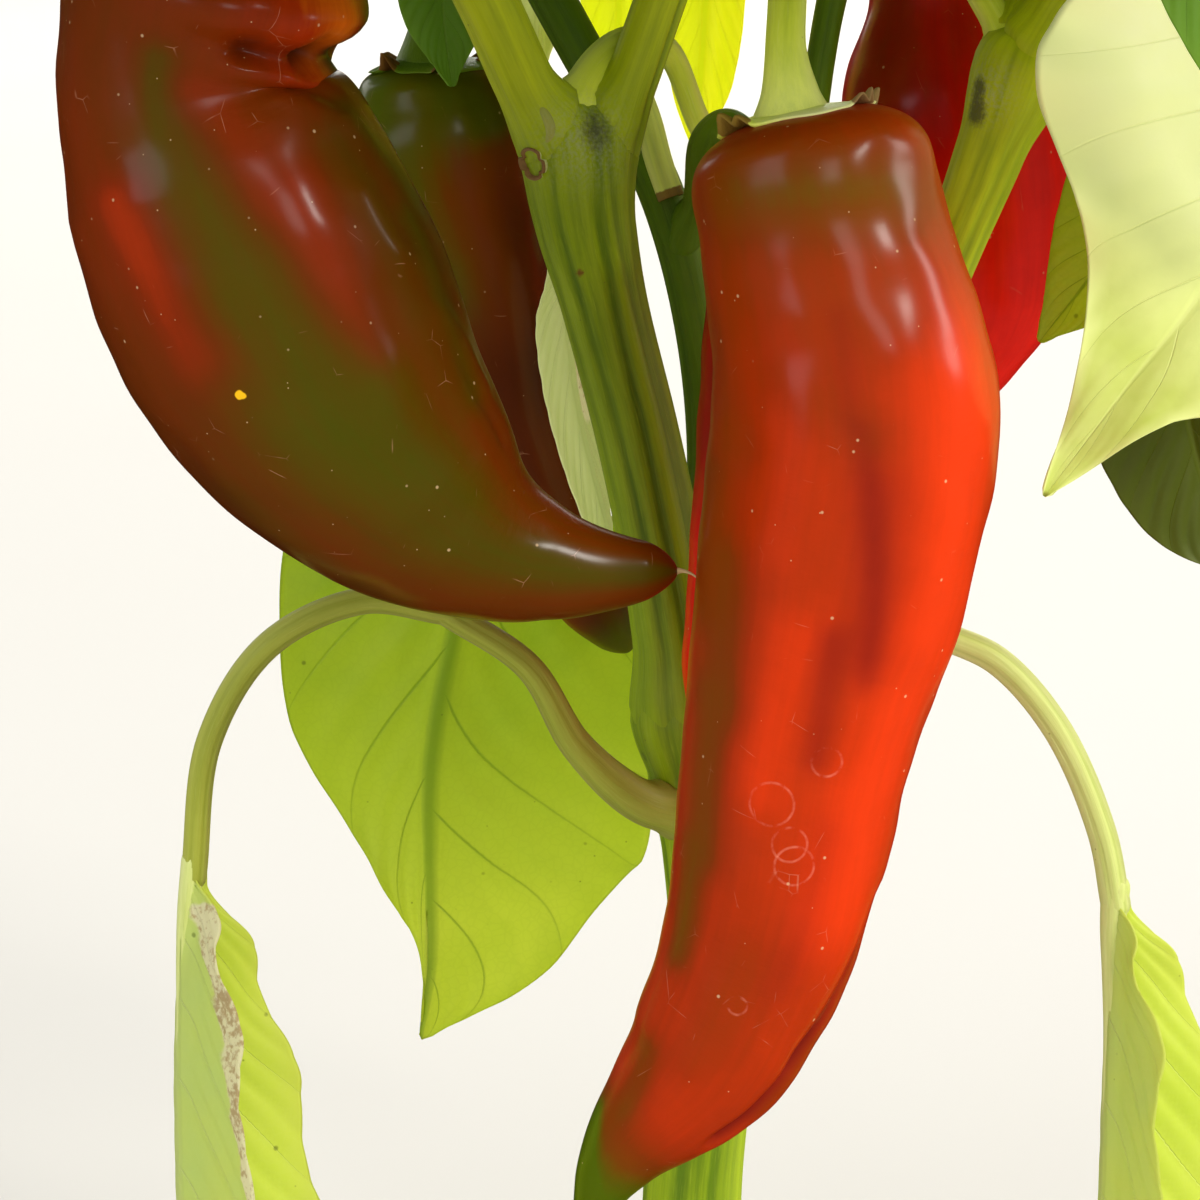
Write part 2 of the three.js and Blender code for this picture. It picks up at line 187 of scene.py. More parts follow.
def addPiece(name, shapes, finishes, nodes=()):
    points, quads, tris = np.vstack(shapes.points), np.vstack(shapes.quads), np.vstack(shapes.tris)
    sizes = np.concatenate([np.full(len(quads), 4), np.full(len(tris), 3)])
    corners = np.concatenate([quads.ravel(), tris.ravel()])
    mesh = bpy.data.meshes.new(name)
    mesh.vertices.add(len(points))
    mesh.vertices.foreach_set("co", (points * mm).astype(np.float32).ravel())
    mesh.loops.add(len(corners))
    mesh.loops.foreach_set("vertex_index", corners.astype(np.int32))
    mesh.polygons.add(len(sizes))
    mesh.polygons.foreach_set("loop_start", (np.cumsum(sizes) - sizes).astype(np.int32))
    numbers = [q for q, _ in shapes.finishes] + [t for _, t in shapes.finishes]
    mesh.polygons.foreach_set("material_index", np.concatenate(numbers).astype(np.int32))
    mesh.polygons.foreach_set("use_smooth", np.ones(len(sizes), bool))
    for key, parts in shapes.layers.items():
        values = np.concatenate(parts)
        kind, field = ("FLOAT", "value") if values.ndim == 1 else ("FLOAT_VECTOR", "vector")
        mesh.attributes.new(key, kind, "POINT").data.foreach_set(field, values.astype(np.float32).ravel())
    mesh.update(calc_edges=True)
    for finish in finishes:
        mesh.materials.append(finish.material)
    piece = addObject(name, mesh)
    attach(piece, "root")
    if nodes:
        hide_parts(*nodes)


# finishes


# a colour written as on a paint chart, 0 to 255, in the linear values that shaders take
def paint(red, green, blue):
    chart = np.array([red, green, blue]) / 255
    return tuple(np.where(chart <= 0.04045, chart / 12.92, ((chart + 0.055) / 1.055) ** 2.4).tolist())


# A node's socket. Operators add Math nodes, so that shader maths reads as Python
class Wire:
    def __init__(self, finish, socket):
        self.finish, self.socket = finish, socket

    def math(self, operation, *values):
        return self.finish.node("Math", {"operation": operation}, dict(enumerate(values)))

    def __add__(self, other):
        return self.math("ADD", self, other)

    def __sub__(self, other):
        return self.math("SUBTRACT", self, other)

    def __rsub__(self, other):
        return self.math("SUBTRACT", other, self)

    def __mul__(self, other):
        return self.math("MULTIPLY", self, other)

    def __pow__(self, other):
        return self.math("POWER", self, other)

    __radd__ = __add__
    __rmul__ = __mul__

    def size(self):
        return self.math("ABSOLUTE", self)

    # 0 below low, 1 above high and a straight rise between
    def rise(self, low, high):
        sockets = {"Value": self, "From Min": low, "From Max": high}
        return self.finish.node("MapRange", {"clamp": True}, sockets)


class Finish:
    def __init__(self, name):
        self.material = bpy.data.materials.new(name)
        self.material.use_nodes = True
        self.tree = self.material.node_tree
        self.tree.nodes.clear()
        self.place = self.node("TexCoord", out="Object")

    # One node: its settings go on first, then a value or a wire for each of its sockets
    def node(self, kind, settings=(), sockets=(), out=0):
        made = self.tree.nodes.new("ShaderNode" + kind)
        for key, value in dict(settings).items():
            if key == "stops":
                self.fillRamp(made.color_ramp, value)
            else:
                setattr(made, key, value)
        for key, value in dict(sockets).items():
            if isinstance(value, Wire):
                self.tree.links.new(value.socket, made.inputs[key])
            else:
                made.inputs[key].default_value = value
        return Wire(self, made.outputs[out])

    def fillRamp(self, ramp, stops):
        for element, (place, colour) in zip(ramp.elements, (stops[0], stops[-1])):
            element.position, element.color = place, (*colour, 1)
        for place, colour in stops[1:-1]:
            ramp.elements.new(place).color = (*colour, 1)

    def layer(self, name, out="Fac"):
        return self.node("Attribute", {"attribute_name": name}, out=out)

    def noise(self, scale, detail=3, roughness=0.55, place=None):
        sockets = {"Vector": place or self.place, "Scale": scale, "Detail": detail, "Roughness": roughness}
        return self.node("TexNoise", {}, sockets)

    def cells(self, spacing, settings=(), out=0):
        sockets = {"Vector": self.place, "Scale": 1 / (spacing * mm)}
        return self.node("TexVoronoi", settings, sockets, out)

    # how close a point is to the middle of a random dot: 1 in the dots, 0 between them
    def dots(self, spacing, size, share=0.5):
        away = self.cells(spacing, out="Distance")
        chance = self.node("SeparateColor", {}, {0: Wire(self, away.socket.node.outputs["Color"])})
        return (1 - away.rise(size * 0.5, size)) * chance.rise(1 - share, 1 - share + 0.02)

    def distance(self, centre):
        ends = {0: self.place, 1: [c * mm for c in centre]}
        return self.node("VectorMath", {"operation": "DISTANCE"}, ends, out="Value")

    # lines between cells of a random net
    def net(self, spacing, width):
        edge = self.cells(spacing, {"feature": "DISTANCE_TO_EDGE"})
        return 1 - edge.rise(width * 0.3, width)

    def blend(self, share, below, above):
        below, above = ((*c, 1) if isinstance(c, tuple) else c for c in (below, above))
        return self.node("Mix", {"data_type": "RGBA"}, {0: share, 6: below, 7: above}, out=2)

    def stretched(self, place, scale):
        return self.node("VectorMath", {"operation": "MULTIPLY"}, {0: place, 1: scale})

    def bump(self, height, distance, strength=1.0):
        return self.node("Bump", {}, {"Height": height, "Distance": distance * mm, "Strength": strength})

    # the surface: fixed values sit on the shader's own sockets
    def close(self, sockets, through=0, throughColour=None, normal=None):
        bent = {"Normal": normal} if normal else {}
        out = self.node("BsdfPrincipled", {}, {**sockets, **bent})
        if through:
            glow = self.node("BsdfTranslucent", {}, {"Color": throughColour, **bent})
            out = self.node("MixShader", {}, {0: through, 1: out, 2: glow})
        end = self.tree.nodes.new("ShaderNodeOutputMaterial")
        self.tree.links.new(out.socket, end.inputs["Surface"])
        return self


markTones = {
    "speck": paint(226, 190, 140), "scratch": paint(235, 170, 130), "ring": paint(250, 150, 120),
    "flake": paint(244, 186, 20), "bloom": paint(176, 182, 156), "blotch": paint(56, 50, 46),
    "purple": paint(104, 82, 78), "scar": paint(124, 66, 20), "stemDot": paint(92, 78, 34),
    "leafDot": paint(84, 96, 10), "crust": paint(232, 226, 184), "brown": paint(168, 128, 78),
}


# Ripening skin: layer ripe runs from green at 0 to bright red at 1, and layer shade darkens to maroon,
# as painted shade in the grooves, creases and shaded flanks and as the fruit's own maroon streaks.
# Rings are the dried edges of water drops; flakes are dry specks of one colour
def fruitFinish(name, stops, shadeColour, rings=(), flakes=(), dust=0.6):
    f = Finish(name)
    patchy = f.noise(38, 4) - 0.5
    fine = f.noise(420, 3, 0.6)
    grain = f.layer("grain", "Vector")
    streak = f.noise(0.55, 3, 0.6, f.stretched(grain, (1, 1, 0.07)))
    ripe = f.layer("ripe") + patchy * 0.16 + (streak - 0.5) * 0.12 + (fine - 0.5) * 0.04
    colour = f.node("ValToRGB", {"stops": stops}, {"Fac": ripe})
    # painted shade: the shade layer darkens grooves, creases and shaded flanks towards maroon
    colour = f.blend(f.layer("shade") * 0.85, colour, shadeColour)
    specks = f.dots(5.2, 0.07, dust) + f.dots(2.3, 0.075, dust * 0.3)
    scratch = f.net(7, 0.012) * f.noise(150, 2).rise(0.62, 0.7)
    colour = f.blend(specks.rise(0, 1) * 0.55, colour, markTones["speck"])
    colour = f.blend(scratch * 0.3 * dust, colour, markTones["scratch"])
    line = 0
    for centre, radius in rings:
        away = f.distance(centre) - radius * mm
        line = 1 - away.size().rise(0.00008, 0.00032) + line
    if rings:
        colour = f.blend(line * fine.rise(0.4, 0.66) * 0.3, colour, markTones["ring"])
    for centre, radius in flakes:
        edge = f.noise(300, 2) * 0.0014 + radius * mm
        colour = f.blend((edge - f.distance(centre)).rise(0, 0.0002), colour, markTones["flake"])
    dents = f.noise(75, 2, 0.5)
    ripple = f.noise(0.34, 3, 0.5, f.stretched(grain, (0.5, 0.5, 1.3)))
    height = dents * 0.75 + ripple * 0.3 + fine * 0.08
    rough = 0.34 + f.noise(24, 3).rise(0.35, 0.75) * 0.16 + fine * 0.06 + specks * 0.3
    return f.close(
        {
            "Base Color": colour, "Roughness": rough, "Coat Weight": 0.36, "Coat Roughness": 0.21,
            "Specular IOR Level": 0.04,
        },
        normal=f.bump(height, 0.9, 0.5),
    )


# Green skin of stems and stalks: layer groove darkens the furrows, blotch is a purplish black stain
# with a grey bloom round it, scar a brown crust, pale a lighter tone that on the stems is a painted
# highlight down the flank towards the light, purple a thin stained line, and the painted-sunlight layer
# lightens the skin of the upper and right-hand limbs as if the sun falls on them
def stemFinish(name, light, dark, paleColour, rough=0.42, paintedSunTones=()):
    f = Finish(name)
    light, dark, paleColour = (paint(*c) for c in (light, dark, paleColour))
    if paintedSunTones:
        light, dark = (f.blend(f.layer("sunny"), a, paint(*b)) for a, b in zip((light, dark), paintedSunTones))
    grain = f.layer("grain", "Vector")
    streak = f.noise(0.9, 4, 0.6, f.stretched(grain, (1, 1, 0.05)))
    hair = f.noise(3.2, 3, 0.6, f.stretched(grain, (1, 1, 0.04)))
    cloud = f.noise(55, 3)
    fine = f.noise(900, 2)
    groove = f.layer("groove")
    tone = groove * 0.85 + streak.rise(0.4, 0.75) * 0.42 + cloud.rise(0.35, 0.8) * 0.3
    colour = f.blend(tone.rise(0, 1), light, dark)
    colour = f.blend(f.layer("pale") * 0.8, colour, paleColour)
    colour = f.blend(hair.rise(0.56, 0.75) * 0.22, colour, paleColour)
    bloom = f.layer("bloom")
    colour = f.blend(bloom * f.noise(1500, 2).rise(0.38, 0.66) * 0.5, colour, markTones["bloom"])
    blotch = f.layer("blotch")
    dots = f.noise(1400, 2, 0.6)
    stain = (blotch * 1.3 + dots - 0.85).rise(0, 0.6) * blotch.rise(0.02, 0.5)
    colour = f.blend(stain * 0.75, colour, markTones["blotch"])
    colour = f.blend(f.layer("purple") * 0.75, colour, markTones["purple"])
    scar = (f.layer("scar") * 2.6 + f.noise(800, 3) - 1.0).rise(0, 0.35)
    colour = f.blend(scar * 0.85, colour, markTones["scar"])
    colour = f.blend(f.dots(4.1, 0.06, 0.35) * 0.5, colour, markTones["stemDot"])
    height = streak * 0.5 + hair * 0.25 + fine * 0.12
    return f.close(
        {"Base Color": colour, "Roughness": rough + fine * 0.12 + scar * 0.3, "Specular IOR Level": 0.26},
        normal=f.bump(height, 0.5, 0.7),
    )


# Veins of a blade, from its layers across (-1 to 1) and down (0 to 1): the side veins leave the midrib
# in pairs a little apart, and bend towards the tip as they run out
veins = {"pairs": 7, "reach": 1.75, "power": 0.82, "stagger": 0.33}


def sideVein(across, down, pairs):
    phase = down * pairs - np.abs(across) ** veins["power"] * veins["reach"] + (across > 0) * veins["stagger"]
    return np.abs(phase - np.round(phase))


# Leaf: the colours of its upper face, lower face, veins and margin, the share of light let through, how
# clear the veins are, and the colour that the blade turns to at its tip. Glow is painted light: the blade
# gives off light in its own colour
def leafFinish(name, colours, through, veinShare, specks=0.0, net=0.0, tip=None, glow=0.0):
    f = Finish(name)
    upper, under, vein, margin = (paint(*c) for c in colours)
    across, down = f.layer("across"), f.layer("down")
    outward = across.size()
    phase = down * veins["pairs"] - outward ** veins["power"] * veins["reach"]
    phase = phase + across.math("GREATER_THAN", across, 0) * veins["stagger"]
    line = (phase.math("FRACT", phase) - 0.5).size()
    thin = 0.475 + outward * 0.012
    sideLine = (line - thin).rise(0, 0.02)
    midLine = 1 - outward.rise(0.012, 0.05)
    ribs = sideLine.math("MAXIMUM", sideLine * (1 - outward * 0.45), midLine)
    cloud = f.noise(42, 4)
    fine = f.noise(700, 3)
    colour = f.blend(f.layer("under"), upper, under)
    if tip:
        colour = f.blend((down + cloud * 0.3).rise(0.4, 0.9) * 0.9, colour, paint(*tip))
    colour = f.blend(cloud.rise(0.35, 0.72) * 0.55, colour, margin)
    colour = f.blend(outward.rise(0.72, 1.05) * 0.6, colour, margin)
    if net:
        colour = f.blend(f.net(1.9, 0.12) * net, colour, vein)
    colour = f.blend(ribs * veinShare, colour, vein)
    if specks:
        both = f.dots(6.5, 0.09, specks) + f.dots(3.1, 0.09, specks * 0.4)
        colour = f.blend(both.rise(0, 1) * 0.6, colour, markTones["leafDot"])
    harm = f.layer("harm")
    crust = (harm * 1.5 + f.noise(260, 4) - 0.75).rise(0, 0.25)
    colour = f.blend(crust, colour, markTones["crust"])
    brown = crust * (f.noise(900, 3) + f.noise(90, 3) * 0.8).rise(0.9, 1.08)
    colour = f.blend(brown * 0.7, colour, markTones["brown"])
    height = cloud * 0.7 + fine * 0.12 - ribs * 0.55
    return f.close(
        {
            "Base Color": colour, "Roughness": 0.48 + fine * 0.1 + crust * 0.2, "Specular IOR Level": 0.38,
            # painted light: the blade glows in its own colour by the amount glow
            "Emission Color": colour, "Emission Strength": glow,
        },
        through=through, throughColour=f.blend(0.35, colour, margin), normal=f.bump(height, 0.6, 0.6),
    )


# stops of a colour ramp: a place and a colour each
def ramp(*stops):
    return [(place, paint(*colour)) for place, *colour in stops]


orchard = ramp(
    (0.0, 80, 98, 0), (0.2, 94, 84, 0), (0.38, 118, 60, 0), (0.56, 132, 50, 0), (0.74, 162, 44, 0),
    (0.88, 194, 48, 0), (1.0, 218, 53, 0),
)
dusky = ramp(
    (0.0, 44, 60, 0), (0.2, 72, 70, 0), (0.38, 88, 56, 0), (0.56, 104, 43, 0), (0.74, 126, 38, 0),
    (0.86, 154, 42, 0), (1.0, 216, 104, 10),
)
scarlet = ramp(
    (0.0, 70, 92, 0), (0.3, 110, 80, 0), (0.5, 128, 46, 0), (0.7, 160, 28, 0), (0.88, 220, 16, 0),
    (1.0, 255, 30, 4),
)
# painted sunlight: the lit tones that the stem skin turns to where the sun falls
sunny = ((202, 214, 14), (130, 152, 0))
stemGreen = stemFinish("stem skin", (150, 174, 4), (90, 120, 0), (190, 208, 60), paintedSunTones=sunny)
# painted shade: a darker copy of the stem skin, for the stems and stalks that sit in shade
shadedStemSkin = stemFinish("shaded stem skin", (98, 130, 6), (58, 88, 0), (134, 160, 40))
stalkGreen = stemFinish("fruit stalk skin", (236, 248, 76), (190, 212, 36), (248, 248, 170), 0.36)
petioleGreen = stemFinish("leaf stalk skin", (160, 166, 58), (132, 142, 34), (196, 196, 104), 0.4)
petiolePale = stemFinish("pale leaf stalk skin", (210, 218, 130), (172, 186, 84), (232, 232, 176), 0.4)
twigGreen = stemFinish("twig skin", (118, 150, 42), (80, 112, 24), (160, 180, 90), 0.5)


def plainFinish(name, colour, other, rough):
    f = Finish(name)
    shade = f.blend(f.noise(160, 3).rise(0.35, 0.7) * 0.7, paint(*colour), paint(*other))
    sockets = {"Base Color": shade, "Roughness": rough + f.noise(500, 2) * 0.1}
    return f.close(sockets, normal=f.bump(f.noise(600, 3), 0.2, 0.5))


huskTan = plainFinish("dry husk", (212, 190, 134), (164, 124, 74), 0.7)
print("finishes made")

# stems and limbs

roundEnd = [(math.sin(a), math.cos(a)) for a in np.linspace(0, math.pi / 2, 6)]
flatEnd = [(0.0, 1.0), (0.0, 0.5), (0.0, 0.0)]
cutEnd = [(0.0, 1.0), (0.06, 0.92), (0.0, 0.82), (-0.3, 0.72), (-0.6, 0.5), (-0.7, 0.0)]

grooveSpan = 7  # degrees from a groove's middle to its shoulder


def evenGrooves(count, depth, seed):
    rng = np.random.default_rng(seed)
    places = np.arange(count) * 360 / count + rng.uniform(-9, 9, count)
    return [(place, depth * rng.uniform(0.5, 1.3)) for place in places]


# notches that run along a bar and wander a little, each with a bell-shaped section
def grooveDepth(grooves, t, angle):
    depth = np.zeros(np.broadcast(t, angle).shape)
    for place, cut in grooves:
        away = turn(angle - place - 6 * np.sin(4.5 * t + place))
        depth += cut * bell(away, grooveSpan)
    return depth


# A bar: rows of centre, directions and radius along a line of stations, with a shape for each end
class Bar:
    def __init__(self, stations, rows, grooves=(), ends=(roundEnd, roundEnd), mirror=1):
        self.t = np.linspace(0, 1, rows)
        self.rows = lineAt(stations, self.t, mirror)
        self.grooves = grooves
        self.ends = ends
        self.length = np.concatenate([[0], np.cumsum(np.linalg.norm(np.diff(self.rows[0], axis=0), axis=1))])

    # distance from points to the bar's skin: to the nearest row, then straight across
    def distance(self, points):
        centre, along, toward, side, radius = self.rows
        row = np.argmin(((points[:, None] - centre) ** 2).sum(axis=2), axis=1)
        slip = np.einsum("ij,ij->i", points - centre[row], along[row])
        span = self.length[-1] / (len(self.t) - 1)
        slip = np.clip(slip, -span * (row > 0), span * (row < len(self.t) - 1))
        out = points - centre[row] - along[row] * slip[:, None]
        across = (np.einsum("ij,ij->i", out, way[row]) for way in (side, toward))
        angle = np.degrees(np.arctan2(*across))
        return np.linalg.norm(out, axis=1) - radius[row] + grooveDepth(self.grooves, self.t[row], angle)

    # The skin as a grid of points, with the outward directions, and t, angle, grooves and length for each.
    # Position = centre + radius x (cos angle x toward + sin angle x side); rows are added for the two ends
    def skin(self, sides):
        first, last, rows = self.ends[0][:0:-1], self.ends[1][1:], len(self.t)
        pick = np.concatenate([np.zeros(len(first), int), np.arange(rows), np.full(len(last), rows - 1)])
        push = np.concatenate([[-a for a, _ in first], np.zeros(rows), [a for a, _ in last]])
        scale = np.concatenate([[b for _, b in first], np.ones(rows), [b for _, b in last]])
        centre, along, toward, side, radius = (a[pick] for a in self.rows)
        angle = np.linspace(-180, 180, sides, endpoint=False)[None]
        t = self.t[pick][:, None]
        deep = grooveDepth(self.grooves, t, angle)
        turned = np.radians(angle)[..., None]
        outward = np.cos(turned) * toward[:, None] + np.sin(turned) * side[:, None]
        reach = (radius[:, None] - deep) * scale[:, None]
        points = centre[:, None] + along[:, None] * (push * radius)[:, None, None]
        points = points + outward * reach[..., None]
        travelled = self.length[pick][:, None] + push[:, None] * radius[:, None]
        circle = [wave(turned[..., 0]) * radius[:, None] for wave in (np.cos, np.sin)]
        grain = np.stack(np.broadcast_arrays(*circle, travelled), -1)
        return points, outward * scale[:, None, None], t + 0 * angle, angle + 0 * t, deep, grain

    # the skin's values as lists, with its faces
    def flatSkin(self, sides):
        grids = self.skin(sides)
        return (*(tubeOrder(grid) for grid in grids), tubeFaces(len(grids[0]), sides))


# Pushes a skin out where it comes near its neighbours, so that the two meet in a smooth fillet. With
# own the distance from the bar and near the distance from the neighbours, both skins settle where
# own = reach / 4 x (1 - |near - own| / reach) squared
def fillet(points, outward, neighbours, reach):
    own = np.zeros(len(points))
    for _ in range(9):
        moved = points + outward * own[:, None]
        near = np.min([n.distance(moved) for n in neighbours], axis=0)
        target = reach / 4 * np.maximum(1 - np.abs(near - own) / reach, 0) ** 2
        own += 0.6 * (target - own)
    return own, near


stems = {
    "trunk": {
        "stations": [
            [0, 0, 0, 15], [0, 0, 9, 11.6], [0, 0, 30, 9.6], [0, 0, 78, 9.6], [4, 0, 118, 8.6],
            [2, 0, 150, 8.6],
            [-1, 0, 172, 9.2],
        ],
        "grooves": evenGrooves(11, 0.35, 1) + [(-20, 0.5), (28, 0.6)],
        "near": ["limb_left", "limb_right", "limb_back"],
    },
    "limb_left": {
        "stations": [
            [-1, 0, 172, 8.8], [-6, -1, 202, 8], [-11, -2, 226, 7.8], [-17, -3, 250, 8], [-21, -4, 268, 9.4],
            [-22, -4, 280, 8.6],
        ],
        "grooves": evenGrooves(7, 0.18, 2) + [(-24, 0.45), (16, 0.62), (44, 0.6), (66, 0.4)],
        "near": ["trunk", "limb_left_outer", "limb_left_inner", "limb_middle"],
    },
    "limb_left_outer": {
        "stations": [
            [-22, -4, 276, 5.8], [-29, -8, 286, 5.7], [-38, -14, 306, 5.6], [-46, -20, 322, 5.5],
            [-54, -26, 338, 6.2],
        ],
        "grooves": evenGrooves(8, 0.12, 3), "near": ["limb_left", "limb_left_inner"],
    },
    "limb_left_inner": {
        "stations": [
            [-20, -4, 276, 5], [-15, -4, 284, 4.9], [-7, -2, 305, 4.7], [-1, -4, 323, 4.7],
            [6, -10, 341, 5.6],
        ],
        "grooves": evenGrooves(7, 0.12, 4) + [(58, 0.5)], "near": ["limb_left", "limb_left_outer"],
    },
    "limb_middle": {
        "stations": [
            [0, 2, 190, 4.4], [3, 11, 211, 4.4], [1, 14, 241, 4.4], [-7, 16, 270, 4.3], [-21, 20, 294, 4.2],
            [-31, 25, 312, 4.4], [-37, 28, 324, 5],
        ],
        "grooves": evenGrooves(7, 0.16, 5), "near": ["limb_left", "trunk"],
    },
    "limb_right": {
        "stations": [
            [2, 1, 158, 6.4], [9, 2, 180, 6.2], [24, 3, 208, 5.9], [38, 3, 238, 5.7], [48, 2, 262, 5.7],
            [54, 2, 278, 6.6],
            [59, 2, 293, 7.2],
        ],
        "grooves": evenGrooves(12, 0.26, 6),
        "near": ["trunk", "limb_left", "limb_right_outer", "limb_right_inner"],
    },
    "limb_back": {
        "stations": [
            [3, 1, 168, 3.2], [13, 10, 190, 3], [21, 22, 216, 2.9], [21, 26, 262, 2.8], [25, 30, 298, 2.8],
            [31, 36, 322, 3.4],
        ],
        "grooves": evenGrooves(5, 0.12, 7), "near": ["trunk", "limb_right"],
    },
    "limb_right_outer": {
        "stations": [[59, 2, 290, 5.6], [70, -2, 312, 5.2], [84, -6, 332, 4.8], [104, -8, 352, 5]],
        "grooves": evenGrooves(8, 0.16, 8), "near": ["limb_right", "limb_right_inner"],
    },
    "limb_right_inner": {
        "stations": [[58, 3, 292, 4.8], [64, 14, 316, 4.4], [72, 18, 344, 4.2], [80, 18, 372, 4.4]],
        "grooves": evenGrooves(8, 0.16, 9), "near": ["limb_right", "limb_right_outer"],
    },
}
masses = {
    "left": {"at": [-166, -26, 396], "size": [80, 84, 70], "seed": 31},
    "front_left": {"at": [-78, -122, 404], "size": [76, 70, 68], "seed": 32},
    "front_right": {"at": [62, -120, 400], "size": [78, 72, 66], "seed": 33},
    "right": {"at": [162, -10, 398], "size": [78, 88, 72], "seed": 34},
    "back_right": {"at": [84, 112, 402], "size": [88, 80, 74], "seed": 35},
    "back_left": {"at": [-88, 108, 408], "size": [92, 80, 76], "seed": 36},
    "top_left": {"at": [-70, -10, 506], "size": [92, 96, 78], "seed": 37},
    "top_right": {"at": [82, 6, 510], "size": [86, 92, 76], "seed": 38},
    "middle": {"at": [4, -4, 394], "size": [50, 54, 44], "seed": 39},
}
boughs = {
    "left": {"from": [-54, -26, 336], "by": [-88, -30, 356], "radius": 4.2, "near": ["limb_left_outer"]},
    "front_left": {
        "from": [-55, -27, 337], "by": [-62, -62, 356], "radius": 3.9, "near": ["limb_left_outer"],
    },
    "front_right": {"from": [7, -12, 340], "by": [26, -52, 354], "radius": 3.9, "near": ["limb_left_inner"]},
    "middle": {"from": [6, -10, 340], "by": [4, -4, 352], "radius": 4, "near": ["limb_left_inner"]},
    "right": {"from": [103, -8, 351], "by": [124, -10, 362], "radius": 4.2, "near": ["limb_right_outer"]},
    "top_right": {"from": [80, 18, 371], "by": [84, 16, 402], "radius": 3.9, "near": ["limb_right_inner"]},
    "back_right": {"from": [31, 36, 320], "by": [56, 66, 346], "radius": 3.2, "near": ["limb_back"]},
    "back_left": {"from": [-37, 28, 322], "by": [-52, 62, 350], "radius": 4, "near": ["limb_middle"]},
    "top_left": {"from": [-55, -26, 337], "by": [-72, -16, 382], "radius": 4, "near": ["limb_left_outer"]},
}
petioles = {
    "petiole_left_rise": {
        "stations": [
            [2, -2, 152, 3.9], [-10, -9, 157, 4.1], [-22, -14, 169, 3.1], [-31, -18, 185, 2.6],
            [-46, -21, 196, 2.5],
        ],
        "near": ["trunk", "limb_left"],
    },
    "petiole_left_fall": {
        "stations": [
            [-46, -21, 196, 2.5], [-61, -22, 198.2, 2.5], [-78, -24, 190.5, 2.5], [-89, -25, 173, 2.4],
            [-92.5, -25, 147, 2.4],
        ],
    },
    "petiole_right_rise": {
        "look": "pale",
        "stations": [[5, 0, 158, 3.4], [18, -5, 171, 2.9], [29, -12, 186, 2.6], [44, -19, 191.5, 2.6]],
        "near": ["trunk", "limb_right", "limb_left"],
    },
    "petiole_right_fall": {
        "look": "pale",
        "stations": [
            [44, -19, 191.5, 2.6], [55, -20, 186.5, 2.7], [66, -21, 174, 2.7], [74.5, -22, 155, 2.7],
            [77.5, -22, 141, 2.8],
        ],
    },
    "petiole_big": {
        "stations": [[-2, 2, 184, 2.4], [-4, 22, 196, 2.2], [-16, 38, 210, 2], [-36, 52, 217, 2]],
        "near": ["trunk", "limb_left"],
    },
    "petiole_dark": {
        "stations": [[80, -5, 327, 1.9], [88, -12, 316, 1.8], [89, -16, 294, 1.8], [84, -14, 269, 1.8]],
        "near": ["limb_right_outer"],
    },
    "petiole_edge_on": {
        "stations": [[-19, -2, 262, 1.6], [-22, 8, 263, 1.5], [-26, 13, 256, 1.4]], "near": ["limb_left"],
    },
    "petiole_pale": {
        "stations": [[98, -8, 347, 2], [109, -16, 350, 2], [112, -24, 342, 2], [109.5, -29, 332, 2]],
        "near": ["limb_right_outer"],
    },
}
stemLook = {
    "rowsPerMm": 0.9, "sides": 72, "fillet": 9,
    "boughRows": 60, "boughSides": 28, "boughFillet": 6,
    "petioleRowsPerMm": 1.2, "petioleSides": 40, "petioleFillet": 5,
    "petioleGrooves": [(-40, 0.25), (25, 0.2), (160, 0.3)],
    "petioleStain": -62,  # degrees, where the purple line runs
    "shaded": ("limb_middle", "limb_back"),
    # stains and crusts: middle and reach
    "blotch": [(-19.5, -10, 282, 4.4), (50, -3.5, 290, 2.6), (50, -3.5, 285, 2.8), (-10.5, -4, 164, 1.6)],
    "bloom": [(-21, -10, 281, 7), (52, -4, 289, 5)],
    "scar": [
        (-18.9, -10, 261, 1.2), (-21.2, -10.5, 257, 1.1), (-18.9, -10.5, 257.4, 0.9), (50.4, -3.6, 243, 1.2),
    ],
}


def nearMarks(points, kind):
    total = np.zeros(len(points))
    for mark in stemLook[kind]:
        total = total + np.exp(-(((points - mark[:3]) ** 2).sum(axis=-1)) / mark[3] ** 2)
    return np.clip(total, 0, 1)


def stemLayers(points, angle, deep, grain, fade=1.0):
    return {
        "groove": np.clip(deep / 0.5, 0, 1) * fade,
        # painted highlight: a lighter band down the flank that faces the light
        "pale": bell(turn(angle - 62), 26) * 0.35 * fade,
        **{kind: nearMarks(points, kind) for kind in ("blotch", "bloom", "scar")},
        "purple": 0 * angle,
        # painted sunlight: 1 high up and on the right-hand limbs, 0 low down on the left
        "sunny": np.maximum(softStep(points[..., 2], 258, 304), softStep(points[..., 0], 12, 30)),
        "grain": grain,
    }


bars = {}
for name, stem in stems.items():
    rows = int(runOf(stem["stations"]) * stemLook["rowsPerMm"])
    bottom = flatEnd if name == "trunk" else roundEnd
    bars[name] = Bar(stem["stations"], rows, stem["grooves"], (bottom, roundEnd))


def addStemPiece(name, bar, near, reach, finish, sides, purple=None, nodes=()):
    points, outward, _, angle, deep, grain, faces = bar.flatSkin(sides)
    fade = 1.0
    if near:
        push, gap = fillet(points, outward, [bars[n] for n in near], reach)
        points = points + outward * push[:, None]
        fade = 0.35 + 0.65 * softStep(gap, -1, reach * 1.2)
    layers = stemLayers(points, angle, deep, grain, fade)
    if purple is not None:
        layers["purple"] = 0.35 * bell(turn(angle - purple), 14)
    shapes = Shapes()
    shapes.add(points, *faces, layers=layers)
    addPiece(name, shapes, [finish], nodes)


